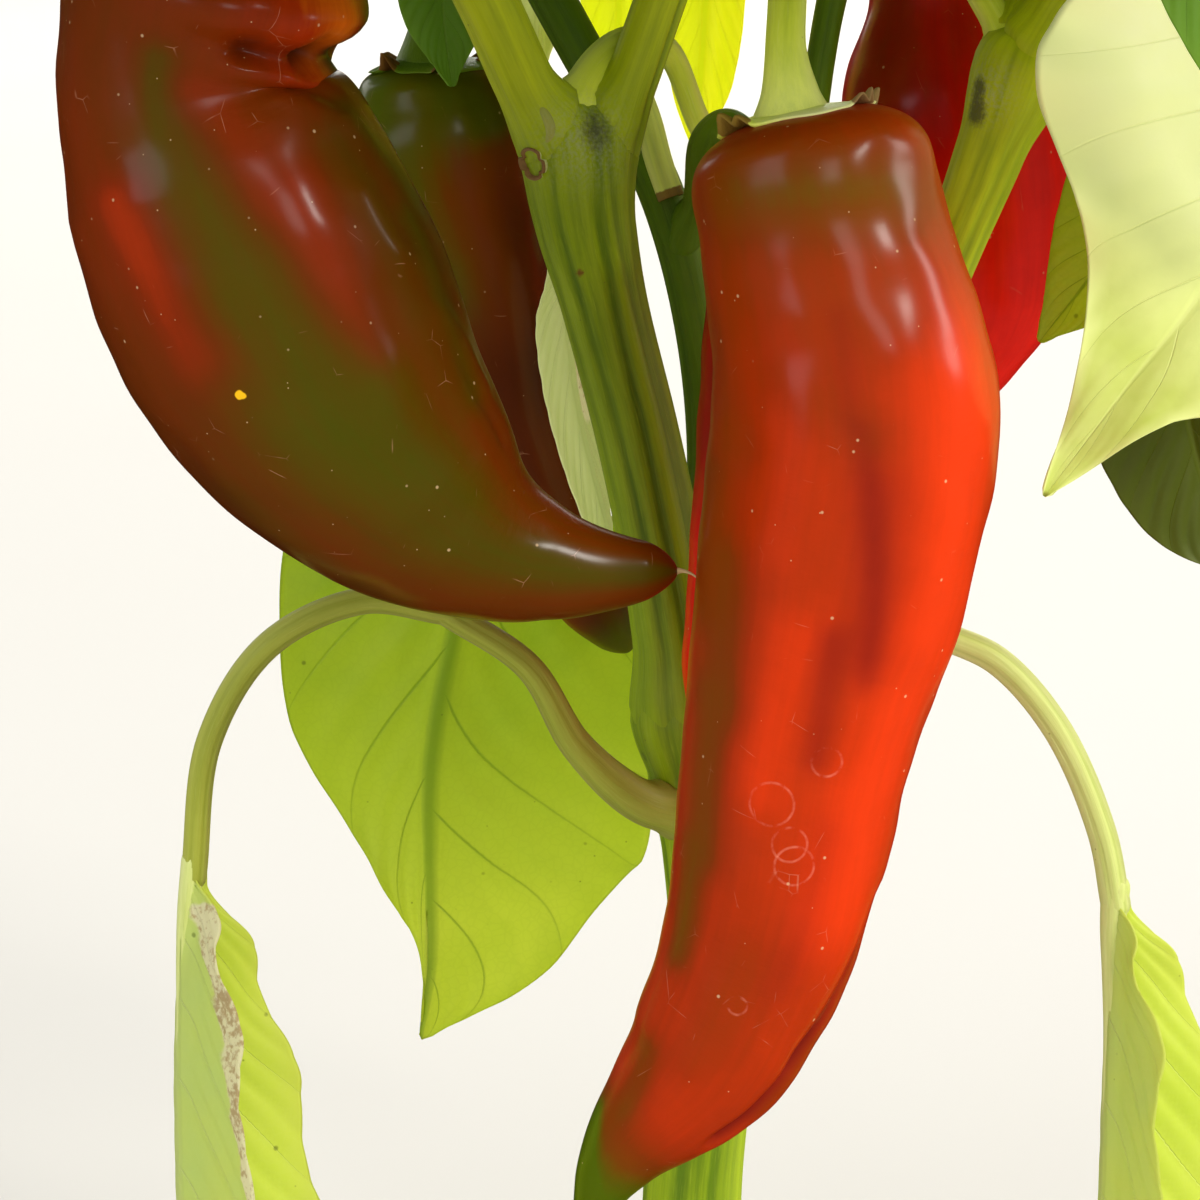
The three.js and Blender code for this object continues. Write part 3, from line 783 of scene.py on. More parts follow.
def addStems():
    look = stemLook
    for name, stem in stems.items():
        finish = shadedStemSkin if name in look["shaded"] else stemGreen
        addStemPiece(
            f"{name}_skin", bars[name], stem["near"], look["fillet"], finish, look["sides"],
            nodes=[name],
        )
    for key, bough in boughs.items():
        name, radius = f"bough_{key}", bough["radius"]
        stations = [
            [*bough["from"], radius], [*bough["by"], radius * 0.9], [*masses[key]["at"], radius * 0.5],
        ]
        bars[name] = Bar(stations, look["boughRows"], evenGrooves(6, 0.1, masses[key]["seed"]))
        addStemPiece(
            f"{name}_skin", bars[name], bough["near"], look["boughFillet"], stemGreen,
            look["boughSides"], nodes=[name],
        )
    for name, petiole in petioles.items():
        rows = int(runOf(petiole["stations"]) * look["petioleRowsPerMm"])
        bars[name] = Bar(petiole["stations"], rows, look["petioleGrooves"])
        addStemPiece(
            f"{name}_skin", bars[name], petiole.get("near", []), look["petioleFillet"],
            petiolePale if "look" in petiole else petioleGreen, look["petioleSides"],
            look["petioleStain"], [name],
        )


addStems()

# Small things on the stems and the left fruit: a cut leaf stalk, a husk, a leaf scar's lip and a dry style
stubs = {
    "cut_stub": {
        "stations": [[-12, 16, 290, 2.6], [-9, 15, 282, 2.7], [-7, 12.5, 275, 2.6], [-4.6, 11, 268, 2.5]],
        "grooves": [(0, 0.35), (40, 0.25), (-50, 0.3), (150, 0.3)], "finish": stalkGreen, "end": cutEnd,
    },
    "dry_husk": {
        "stations": [
            [-25.5, -7, 278, 3.4], [-27.4, -8.8, 277.6, 3.3], [-29, -10.4, 277, 3],
            [-30.2, -11.8, 276.6, 3.1],
        ],
        "grooves": [(20, 1.0), (-60, 0.7), (130, 0.9), (-150, 0.8)], "finish": petiolePale, "end": cutEnd,
    },
    "scar_lip": {
        "stations": [
            [-29.4, -13.2, 288, 0.6], [-27.4, -14, 285.4, 0.9], [-26.6, -13.6, 282.4, 1],
            [-28, -12.4, 280, 0.7],
        ],
        "grooves": [], "finish": petioleGreen, "end": roundEnd,
    },
    "dry_style": {
        "stations": [
            [-5.2, -60, 211.5, 0.9], [-3.8, -60, 211.6, 0.42], [-2.2, -60.2, 211.2, 0.22],
            [-0.6, -60.6, 210.2, 0.14],
        ],
        "grooves": [], "finish": huskTan, "end": roundEnd, "slot": "turning_fruit",
    },
}


stubLook = {"rows": 26, "sides": 32, "pale": 0.4, "crust": {"cut_stub": 0.9, "dry_husk": 0.7}}


def addStubs():
    for name, stub in stubs.items():
        bar = Bar(stub["stations"], stubLook["rows"], stub["grooves"], (roundEnd, stub["end"]))
        points, _, t, angle, deep, grain, faces = bar.flatSkin(stubLook["sides"])
        layers = stemLayers(points, angle, deep, grain)
        layers["pale"] = layers["pale"] + stubLook["pale"]
        if stub["end"] is cutEnd:
            layers["scar"] = softStep(t, 0.9, 1.0) * stubLook["crust"][name]
        shapes = Shapes()
        shapes.add(points, *faces, layers=layers)
        addPiece(name, shapes, [stub["finish"]])


addStubs()
print("stems made")

# fruits

# Strokes lie on the unrolled skin: from (t, angle) to (t, angle), with a reach in mm and a value. A
# stroke fades as a bell with the distance from its line
# Paint strokes set the ripeness; shade strokes are painted shade in grooves, creases and shaded flanks, with
# some of the fruit's own maroon streaks
fruits = {
    "front": {
        "stations": [
            [15.5, -62, 290.6, 20.2], [20.2, -65.5, 268.5, 21.2], [25.5, -66, 242.2, 24.2],
            [22.7, -66, 215.5, 23.8],
            [16.1, -66, 183.1, 20], [11.4, -66, 153.1, 17.7], [1.3, -66, 126.7, 14.9],
            [-14.1, -64.5, 107.5, 7.5], [-22.3, -62, 89.4, 0.9],
        ],
        "ends": (0.07, 0.05), "ripe": 0.78, "tip": (0.8, 0.935, 0.86),
        "relief": [
            (0.168, -26, 0.398, -28, 5, 0.5), (0.206, 28, 0.406, 28, 6, 0.7),
            (0.256, -2, 0.437, 20, 4, -0.8), (0.414, 0, 0.494, 6, 4, -0.7),
            (0.283, -54, 0.579, -54, 5, -0.8), (0.606, 78, 0.713, 60, 3, -2),
            (0.713, 60, 0.79, 48, 2.8, -1.7), (0.145, -8, 0.16, 15, 4, -0.4),
            (0.095, -80, 0.12, 66, 6, -0.5), (0.025, -50, 0.025, -10, 5, 0.5), (0.03, 40, 0.05, 70, 6, 0.7),
            (0.3, 130, 0.7, 130, 8, -1.2), (0.3, -130, 0.7, -120, 8, -1.0),
        ],
        "paint": [
            (0.206, 40, 0.406, 48, 9, 1), (0.16, -30, 0.368, -30, 3.6, 0.84), (0.406, 48, 0.6, 32, 8, 1),
            (0.42, -16, 0.52, -20, 5, 0.94),
            (0.66, -10, 0.74, -16, 6, 0.7), (0.02, -50, 0.035, 60, 8, 0.68), (0.13, -60, 0.17, 16, 10, 0.66),
            (0.068, -38, 0.09, 38, 9.5, 0.35), (0.2, -30, 0.26, 0, 5, 0.7),
            (0.164, -72, 0.283, -66, 6, 0.6), (0.318, -76, 0.417, -70, 5, 0.52),
            (0.383, -60, 0.475, -52, 4.4, 0.5), (0.475, -58, 0.579, -54, 4.2, 0.42),
            (0.579, -60, 0.667, -56, 3.4, 0.36),
            (0.644, 86, 0.709, 78, 2.6, 0.7), (0.709, 78, 0.759, 62, 2.6, 0.66),
            (0.859, -75, 0.924, -32, 5, 0.1),
            (0.767, -52, 0.824, -40, 4.2, 0.48),
        ],
        "shade": [
            (0.606, 78, 0.713, 60, 2.5, 0.95), (0.713, 60, 0.79, 48, 2.5, 0.9),
            (0.168, -3, 0.245, -6, 1.7, 0.25), (0.256, -2, 0.437, 20, 2, 0.4),
            (0.414, 0, 0.494, 6, 2.4, 0.5), (0.3, 8, 0.42, 16, 4, 0.35), (0.487, -86, 0.636, -80, 2.2, 0.4),
            (0.55, 20, 0.66, 14, 4, 0.25),
        ],
        "finish": "front", "slot": "red_fruit",
        "calyx": 13.2, "teeth": [(-64, 1.9), (-48, 1.2), (50, 1.2), (68, 1.6), (98, 1.8)],
    },
    "left": {
        "stations": [
            [-79, -60, 324, 18], [-81.8, -60, 311, 26.1], [-86, -60, 296.3, 23.2],
            [-81.9, -60, 281.3, 27.3], [-74.3, -60, 262.8, 29.3],
            [-63.5, -60, 242.4, 27.3], [-49.3, -60, 225.6, 21.1], [-37.4, -60, 216.5, 14.2],
            [-25.8, -60, 212.6, 9.8], [-4.4, -60, 211.4, 3.4],
        ],
        "ends": (0.06, 0.03), "ripe": 0.56, "tip": (0.84, 0.95, 0.0),
        "relief": [
            (0.157, 3, 0.153, 22, 2.6, -1.6), (0.153, 22, 0.141, 56, 2.6, -4),
            (0.141, 56, 0.135, 110, 3, -5.5), (0.118, 10, 0.11, 56, 6, 1.1),
            (0.249, 51, 0.302, 62, 2.2, -0.9), (0.264, 39, 0.325, 63, 2.2, 0.6),
            (0.398, 50, 0.471, 54, 2.4, 0.8), (0.379, 27, 0.575, 24, 5, 0.9),
            (0.494, 38, 0.667, 42, 4, -1), (0.536, 63, 0.636, 75, 2.4, 0.8), (0.58, 66, 0.7, 70, 2, -0.7),
            (0.25, 6, 0.55, 2, 8, -1.1),
            (0.24, -34, 0.5, -34, 9, 0.8), (0.6, 30, 0.85, 40, 5, -0.5), (0.2, 150, 0.6, 150, 10, -1.6),
            (0.3, -110, 0.6, -110, 8, -1.2),
        ],
        "paint": [
            (0.249, -58, 0.383, -64, 9, 0.65), (0.318, -34, 0.467, -22, 4.6, 0.86),
            (0.195, -10, 0.264, -9, 3, 0.3),
            (0.287, -9, 0.441, 3, 5.4, 0.3), (0.441, 4, 0.56, 12, 8, 0.26), (0.226, 10, 0.368, 26, 4, 0.7),
            (0.368, 26, 0.529, 28, 4, 0.74),
            (0.314, 68, 0.437, 82, 2.8, 0.34), (0.448, 68, 0.625, 62, 3.6, 0.3),
            (0.437, 44, 0.502, 44, 2.6, 0.6),
            (0.56, 2, 0.7, 18, 11, 0.22), (0.7, 0, 0.86, 10, 9, 0.28), (0.663, 54, 0.886, 63, 2.6, 0.52),
            (0.575, -52, 0.725, -56, 3.8, 0.44),
            (0.86, 12, 0.96, 4, 7, 0.27), (0.966, 12, 0.989, 15, 5, 0.3), (0.0, 30, 0.12, 70, 16, 0.97),
            (0.02, -40, 0.1, -20, 8, 0.62), (0.1, 92, 0.14, 100, 4, 0.24),
            (0.34, 52, 0.6, 50, 3.4, 0.42),
        ],
        "shade": [
            (0.153, 22, 0.141, 56, 2, 0.5), (0.141, 56, 0.135, 110, 2.4, 0.7),
            (0.3, -95, 0.8, -100, 8, 0.45), (0.55, -60, 0.7, -62, 4, 0.3),
        ],
        "finish": "left", "slot": "turning_fruit", "calyx": 14,
        "teeth": [(-60, 1.5), (0, 2), (60, 1.8), (120, 2), (180, 1.5)],
    },
    "dark": {
        "stations": [
            [-49, 30, 291.9, 13.4], [-48, 30, 276.5, 17.4], [-42.2, 30, 254, 15], [-37, 30, 231, 12.6],
            [-28.3, 30, 207, 10.5],
            [-18.6, 30, 187.4, 8], [-12, 30, 177, 2.6],
        ],
        "ends": (0.06, 0.06), "ripe": 0.5, "tip": (0.8, 0.95, 0.4),
        "relief": [
            (0.1, -20, 0.5, -10, 6, -0.9), (0.1, 35, 0.5, 30, 6, 0.6), (0.2, 130, 0.8, 130, 7, -1),
            (0.2, -130, 0.8, -130, 7, -1),
        ],
        "paint": [
            (0.02, -60, 0.34, -40, 12, 0.05), (0.02, 10, 0.12, 30, 8, 0.12), (0.3, -60, 0.5, -60, 6, 0.3),
            (0.25, 40, 0.5, 40, 8, 0.52),
        ],
        "shade": [(0.5, 0, 0.85, 0, 14, 0.75), (0.3, 60, 0.5, 60, 8, 0.5)],
        "finish": "turning", "slot": "green_fruit", "calyx": 11,
        "teeth": [(-50, 2.4), (10, 2.6), (70, 2.4), (130, 2), (-130, 2)],
    },
    "hidden": {
        "stations": [
            [12, -24, 272, 10], [15, -24, 254, 14], [14, -24, 230, 14.6], [12, -24, 206, 14.2],
            [10, -24, 184, 12.8],
            [12, -24, 161, 9], [14, -24, 146, 1.5],
        ],
        "ends": (0.06, 0.06), "ripe": 0.9, "tip": (2, 3, 0), "relief": [(0.1, -60, 0.9, -60, 5, -0.8)],
        "paint": [(0.0, -80, 0.35, -80, 12, 0.7)], "shade": [(0.0, -30, 0.3, -30, 8, 0.4)],
        "finish": "bright", "slot": "red_fruit", "calyx": 8, "teeth": [(-60, 2), (60, 2), (180, 2)],
    },
    "right": {
        "stations": [
            [46, 39, 320, 12.3], [47.3, 39, 302.4, 14.3], [48.6, 39, 285.3, 20.4], [52.4, 39, 264.8, 20.4],
            [53.4, 39, 247.5, 19.6],
            [52.3, 39, 234, 12.2], [51.4, 39, 222.3, 3.8],
        ],
        "ends": (0.06, 0.05), "ripe": 0.95, "tip": (2, 3, 0),
        "relief": [
            (0.2, 20, 0.8, 10, 7, -0.9), (0.3, 62, 0.5, 62, 5, 0.8), (0.45, 40, 0.7, 44, 5, -0.5),
            (0.2, -120, 0.8, -120, 8, -1.2),
        ],
        "paint": [(0.0, -50, 0.3, -40, 10, 0.62), (0.05, 0, 0.2, 10, 8, 0.78)],
        "shade": [(0.7, 80, 0.92, 60, 5, 0.2)],
        "finish": "bright", "slot": "red_fruit", "calyx": 10, "teeth": [(-60, 2), (0, 2), (60, 2), (150, 2)],
    },
    "behind": {
        "stations": [
            [10, 52, 258, 7], [13, 52, 246, 11], [15, 52, 218, 11.4], [14, 52, 190, 8.6], [10, 52, 166, 1.5],
        ],
        "ends": (0.08, 0.06), "ripe": 0.85, "tip": (2, 3, 0),
        "relief": [(0.1, 150, 0.9, 150, 5, -0.9), (0.1, 60, 0.8, 60, 5, -0.7)],
        "paint": [(0.0, 180, 0.3, 150, 9, 0.5)], "shade": [], "finish": "bright", "slot": "red_fruit",
        "calyx": 6.5,
        "teeth": [(0, 1.6), (120, 1.6), (-120, 1.6)],
    },
    "far_left": {
        "stations": [
            [-150, 44, 322, 12], [-152, 44, 308, 18], [-156, 43, 280, 16.4], [-158, 40, 248, 11],
            [-154, 36, 222, 1.5],
        ],
        "ends": (0.08, 0.05), "ripe": 0.5, "tip": (2, 3, 0),
        "relief": [
            (0.1, -150, 0.9, -150, 6, -1.2), (0.1, -30, 0.8, -30, 6, -0.8), (0.1, 90, 0.8, 90, 6, -0.9),
        ],
        "paint": [
            (0.1, -120, 0.6, -110, 10, 0.2), (0.3, 60, 0.8, 60, 9, 0.72), (0.0, 180, 0.3, 180, 10, 0.08),
        ],
        "shade": [],
        "finish": "turning", "slot": "turning_fruit", "calyx": 9,
        "teeth": [(-60, 2), (0, 2), (60, 2), (180, 2)],
    },
    "far_right": {
        "stations": [
            [142, 40, 318, 14], [143, 40, 302, 20], [146, 40, 272, 18], [143, 40, 240, 12.6],
            [132, 40, 214, 1.5],
        ],
        "ends": (0.08, 0.05), "ripe": 0.93, "tip": (2, 3, 0),
        "relief": [(0.1, 170, 0.9, 170, 6, -1.2), (0.1, 40, 0.8, 40, 6, -0.9), (0.1, -80, 0.8, -80, 6, -0.9)],
        "paint": [(0.1, 120, 0.5, 110, 10, 0.7), (0.05, -60, 0.2, 0, 7, 0.76)], "shade": [],
        "finish": "bright", "slot": "red_fruit", "calyx": 10, "teeth": [(-60, 2), (0, 2), (60, 2), (180, 2)],
    },
}
stalks = {
    "front": [
        [6, -12, 341, 3.4], [13, -32, 330, 3.3], [14, -50, 312, 3.3], [13.4, -60, 301, 3.5],
        [14, -64, 294, 5], [14.5, -65.5, 289, 7.6],
    ],
    "left": [
        [-55, -27, 338, 3.4], [-62, -38, 344, 3.3], [-71, -50, 340, 3.5], [-77, -57, 331, 5],
        [-79, -60, 322, 9],
    ],
    "dark": [
        [-37, 28, 322, 2.6], [-44, 32, 318, 2.6], [-49, 32, 306, 2.8], [-50, 31, 298, 4], [-50, 30, 291, 7],
    ],
    "hidden": [
        [-3.4, 15, 256, 2.2], [0, 8, 267, 2.6], [1.6, -6, 280, 3.2], [6, -18, 283.5, 3.4], [12, -24, 271, 6],
    ],
    "right": [
        [58, 3, 296, 3], [50, 12, 311, 3], [45, 24, 328, 3], [46, 36, 330, 3.6], [46, 39.4, 325, 4.6],
        [46, 39, 317, 6.5],
    ],
    "behind": [
        [-22, -4.5, 281, 4], [-20.6, -4, 289, 4], [-14, 7, 296, 3.6], [-5, 24, 294, 2.5], [1, 32, 280, 2.4],
        [8, 46, 267, 3], [10, 52, 257, 4.6],
    ],
    "far_left": [[-128, 0, 368, 2.2], [-138, 22, 352, 2.4], [-147, 40, 340, 2.8], [-150, 44, 321, 6.5]],
    "far_right": [[112, -8, 356, 2.2], [124, 14, 354, 2.4], [137, 32, 342, 2.8], [142, 40, 317, 7]],
}
stalkRoots = {
    "front": ["limb_left_inner"], "left": ["limb_left_outer"], "dark": ["limb_middle"],
    "hidden": ["limb_middle"],
    "right": ["limb_right"], "behind": ["limb_left", "limb_left_outer"], "far_left": [],
    "far_right": ["limb_right_outer"],
}


def strokeShare(stroke, t, angle, length, radius):
    t0, a0, t1, a1, reach, _ = stroke
    x, y = np.radians(turn(angle - a0)) * radius, (t - t0) * length
    dx, dy = math.radians(turn(a1 - a0)) * radius, (t1 - t0) * length
    along = np.clip((x * dx + y * dy) / max(dx * dx + dy * dy, 1e-9), 0, 1)
    return np.exp(-((x - dx * along) ** 2 + (y - dy * along) ** 2) / reach ** 2)


# the sum of what the strokes add
def strokeSum(strokes, t, angle, length, girth):
    added = (stroke[5] * strokeShare(stroke, t, angle, length, girth) for stroke in strokes)
    return sum(added, np.zeros(t.shape))


# the skin's length along its line and its mean radius, both in mm
def fruitSpan(fruit):
    return runOf(fruit["stations"]), np.array(fruit["stations"], float)[:, 3].mean()


flatness = 2.8  # of a fruit's upper end, where 2 gives a quarter ellipse
unevenness = [(0.3, 34, 5), (0.12, 11, 6)]  # height and wavelength in mm, and seed


# The skin at any t and angle: centre + radius x round ends x way out, moved by the strokes of relief
# and a slow unevenness. Returns points and the way out
def fruitSkin(fruit, t, angle):
    centre, _, toward, side, radius = lineAt(fruit["stations"], t, mirror=-1)
    first, last = fruit["ends"]
    rounding = (1 - (1 - np.minimum(t / first, 1)) ** flatness) ** (1 / flatness)
    rounding = rounding * np.sqrt(1 - (1 - np.minimum((1 - t) / last, 1)) ** 2)
    turned = np.radians(angle)[..., None]
    outward = np.cos(turned) * toward + np.sin(turned) * side
    lift = strokeSum(fruit["relief"], t, angle, *fruitSpan(fruit))
    points = centre + outward * (radius * rounding)[..., None]
    for height, wavelength, seed in unevenness:
        lift = lift + height * swell(points, wavelength, np.random.default_rng(seed))
    return points + outward * (lift * np.minimum(rounding * 1.2, 1))[..., None], outward


def painted(start, strokes, t, angle, length, girth):
    value = np.full(t.shape, float(start))
    for stroke in strokes:
        share = strokeShare(stroke, t, angle, length, girth)
        value += (stroke[5] - value) * share
    return value


def addFruit(name, fruit, finish, rows, sides):
    t = (1 - np.cos(np.linspace(0, math.pi, rows))) / 2
    angle = np.linspace(-180, 180, sides, endpoint=False)
    t, angle = np.meshgrid(t, angle, indexing="ij")
    points, _ = fruitSkin(fruit, t, angle)
    length, girth = fruitSpan(fruit)
    turned = np.radians(angle)
    start, stop, tipTone = fruit["tip"]
    ripe = painted(fruit["ripe"], fruit["paint"], t, angle, length, girth)
    layers = {
        "ripe": ripe - tipTone * softStep(t, start, stop),
        "shade": np.clip(strokeSum(fruit["shade"], t, angle, length, girth), 0, 1),
        "grain": np.stack([np.cos(turned) * girth, np.sin(turned) * girth, t * length], -1),
    }
    shapes = Shapes()
    layers = {key: tubeOrder(values) for key, values in layers.items()}
    shapes.add(tubeOrder(points), *tubeFaces(rows, sides), layers=layers)
    addPiece(f"fruit_{name}_skin", shapes, [finish], [f"fruit_{name}"])


calyxLook = {
    "rise": 0.35, "lobe": 0.8, "wave": 0.035, "rows": 26, "sides": 140,
    "under": [(1.02, 0.15), (1.01, -0.1), (0.97, -0.4), (0.6, -0.8), (0.0, -0.8)],
    # share and lift past the rim
    "toothWidth": 7, "toothRise": 1.5, "grain": 12, "shaded": ("dark", "hidden"),
}
stalkLook = {"rows": 56, "sides": 44, "fillet": 5}


# A fruit's stalk and its cap. The cap follows the fruit's shoulder out to an uneven rim with teeth, and
# turns under at the rim: rows run from the middle out along the upper face and back under it
def addStalk(name, fruit):
    bar = Bar(stalks[name], stalkLook["rows"], evenGrooves(5, 0.12, 40 + len(name)), mirror=-1)
    points, outward, t, angle, deep, grain, faces = bar.flatSkin(stalkLook["sides"])
    roots = [bars[n] for n in stalkRoots[name]]
    if roots:
        push, _ = fillet(points, outward, roots, stalkLook["fillet"])
        points = points + outward * push[:, None]
    layers = stemLayers(points, angle, deep, grain)
    # painted highlight: the stalk lightens towards its flared end at the fruit, where it catches the light
    layers["pale"] = layers["pale"] + 0.45 * softStep(t, 0.5, 0.95)
    shapes = Shapes()
    shapes.add(points, *faces, layers=layers)

    look = calyxLook
    out = np.linspace(0, 1, look["rows"])
    share = np.concatenate([out, [a for a, _ in look["under"]]])  # of the way to the rim
    lift = np.concatenate([look["rise"] + 0.9 * (1 - out) ** 3, [b for _, b in look["under"]]])
    angle = np.linspace(-180, 180, look["sides"], endpoint=False)
    lobe = bell(turn(angle + 66), 34) * look["lobe"]
    rim = 1 + look["wave"] * np.sin(np.radians(angle * 3 + 40)) + 0.02 * np.sin(np.radians(angle * 8))
    rim = rim + 0.03 * lobe
    tooth = np.zeros(len(angle))
    for place, size in fruit["teeth"]:
        tooth = np.maximum(tooth, size * bell(turn(angle - place), look["toothWidth"]))
    rim = rim + tooth * 0.02
    radius = fruit["stations"][0][3]
    reach = np.minimum(share[:, None] * rim[None] * fruit["calyx"] / radius, 0.97)
    # the t at which the round end is that wide
    t = fruit["ends"][0] * (1 - (1 - reach ** flatness) ** (1 / flatness))
    angle = angle[None] + 0 * t
    tooth = tooth[None] * (share[:, None] > 0.85) * softStep(share[:, None], 0.8, 1)
    points, outward = fruitSkin(fruit, t, angle)
    up = -lineAt(fruit["stations"], np.zeros(1), -1)[1][0]
    way = unit(outward * reach[..., None] ** 2 + up * (1 - reach[..., None] ** 2))
    thick = lift[:, None] + lobe * (lift[:, None] > 0) * np.minimum(share[:, None] * 2, 1)
    points = points + way * (thick + tooth * 0.2)[..., None] + up * (tooth * look["toothRise"])[..., None]
    circle = [wave(np.radians(angle)) * share[:, None] * look["grain"] for wave in (np.cos, np.sin)]
    grain = np.stack([*circle, 0 * angle], -1)
    dry = np.clip(tooth / 1.2, 0, 1) * softStep(share[:, None], 0.8, 1)
    capLayers = stemLayers(tubeOrder(points), tubeOrder(angle), 0 * tubeOrder(angle), tubeOrder(grain))
    capLayers["pale"] = tubeOrder(0.1 + 1.1 * softStep(share, 0.5, 1)[:, None] * softStep(angle, -50, 10))
    capLayers["scar"] = tubeOrder(dry * 1.8)
    shapes.add(tubeOrder(points), *tubeFaces(len(share), len(rim)), layers=capLayers)
    finish = shadedStemSkin if name in look["shaded"] else stalkGreen
    addPiece(f"stalk_{name}_skin", shapes, [finish], [f"stalk_{name}"])


# t, angle and radius in mm
waterMarks = [(0.529, -12, 3.8), (0.494, 12, 2.6), (0.571, 4, 3.4), (0.556, 0, 3.0), (0.686, -6, 1.6)]
dryFlakes = [(0.507, -19.6, 0.25), (0.509, -18.6, -0.05)]
# rows and sides of a skin
closeGrid, middleGrid, farGrid = (210, 180), (150, 124), (110, 96)
fruitGrids = {"front": closeGrid, "left": closeGrid, "right": middleGrid, "dark": middleGrid}


# marks on a fruit's skin as centre and radius
def marksOn(name, marks):
    spots = np.array(marks)
    centres, _ = fruitSkin(fruits[name], spots[:, 0], spots[:, 1])
    return list(zip(centres.tolist(), spots[:, 2].tolist()))


def addFruits():
    skins = {
        "front": fruitFinish("front fruit skin", orchard, paint(112, 14, 12), marksOn("front", waterMarks)),
        "left": fruitFinish("left fruit skin", dusky, paint(58, 20, 8), (), marksOn("left", dryFlakes), 0.8),
        "turning": fruitFinish("turning fruit skin", orchard, paint(50, 20, 8), (), (), 0.8),
        "bright": fruitFinish("bright fruit skin", scarlet, paint(96, 10, 10), (), (), 0.4),
    }
    for name, fruit in fruits.items():
        addFruit(name, fruit, skins[fruit["finish"]], *fruitGrids.get(name, farGrid))
        addStalk(name, fruit)
    return skins


fruitSkins = addFruits()
print("fruits made")

# leaves

# A blade: midrib stations, half widths at each on its two sides, the way its upper side faces, how far
# its halves fold up, how much they curl, and waves along the margin. Harm strokes are (down, across,
# down, across, reach in mm, value)
leaves = {
    "leaf_hanging_left": {
        "midrib": [[-92.4, -25, 150], [-93.5, -27, 130], [-94.5, -30, 104], [-93, -34, 72], [-82, -37, 34]],
        "right": [1, 13.5, 23.5, 28, 0.3], "left": [1, 13.5, 24.5, 27, 0.3],
        "facing": [0.95, -0.3, 0.1], "fold": 56, "curl": -0.1, "waves": (4, 1.6), "finish": "hanging",
        "on": "petiole_left_fall", "ribs": 2.1,
        "harm": [(0.12, -0.75, 0.5, -0.92, 3.2, 1.0), (0.3, -0.9, 0.9, -1.0, 2.4, 0.9)],
    },
    "leaf_hanging_right": {
        "midrib": [[77.4, -22, 144], [78, -24, 126], [77, -28, 98], [77, -31, 66], [84, -33, 32]],
        "right": [1, 14, 25, 26, 0.3], "left": [1, 11, 22, 24, 0.3],
        "facing": [0.9, -0.45, 0.1], "fold": 50, "curl": -0.1, "waves": (4, 1.2), "finish": "hanging",
        "on": "petiole_right_fall", "ribs": 2.5,
    },
    "leaf_big": {
        "midrib": [
            [-36, 52, 216.5], [-42.5, 57, 207], [-45.6, 58, 183], [-51.9, 58, 150], [-52.8, 58, 126],
            [-52.4, 58, 106], [-54.5, 57, 89],
        ],
        "right": [4, 30, 38.5, 30, 12.5, 2.4, 0.3], "left": [4, 30, 38, 46.5, 43, 25, 0.3],
        "facing": [0.1, 0.98, 0.1], "fold": 5, "curl": 0.1, "waves": (5, 1.8), "finish": "backlit",
        "on": "petiole_big",
    },
    "leaf_edge_on": {
        "midrib": [[-26.2, 13, 256], [-25.4, 13, 246], [-23, 12, 228], [-18, 12, 208], [-15, 12, 196]],
        "right": [1.2, 4.6, 5, 4, 0.3], "left": [1.2, 4.6, 5, 4, 0.3],
        "facing": [-0.7, 0.7, 0], "fold": 10, "curl": 0.1, "waves": (2, 0.5), "finish": "grey",
        "on": "petiole_edge_on",
        "harm": [(0.1, -0.5, 0.5, -0.7, 2, 0.9)],
    },
    "leaf_pale": {
        "midrib": [
            [109.6, -28.6, 333.5], [106, -34, 306], [99, -37, 282], [88, -41, 259], [74, -44, 241],
            [60, -46, 222],
        ],
        "right": [4, 34, 44, 33, 10.5, 0.3], "left": [4, 38, 43.5, 26.5, 9.8, 0.3],
        "facing": [-0.15, -0.95, 0.3], "fold": 6, "curl": 0.05, "waves": (6, 1.4), "quilt": 0.3,
        "finish": "pale", "on": "petiole_pale",
    },
    "leaf_dark": {
        "midrib": [[84, -14, 270], [86, -12, 250], [90, -10, 230], [95, -9, 213], [101, -8, 200]],
        "right": [2, 15, 18, 13, 0.3], "left": [2, 15, 18, 13, 0.3],
        "facing": [-0.1, -0.96, 0.2], "fold": 10, "curl": 0.1, "waves": (3, 1), "finish": "dark",
        "on": "petiole_dark",
    },
}
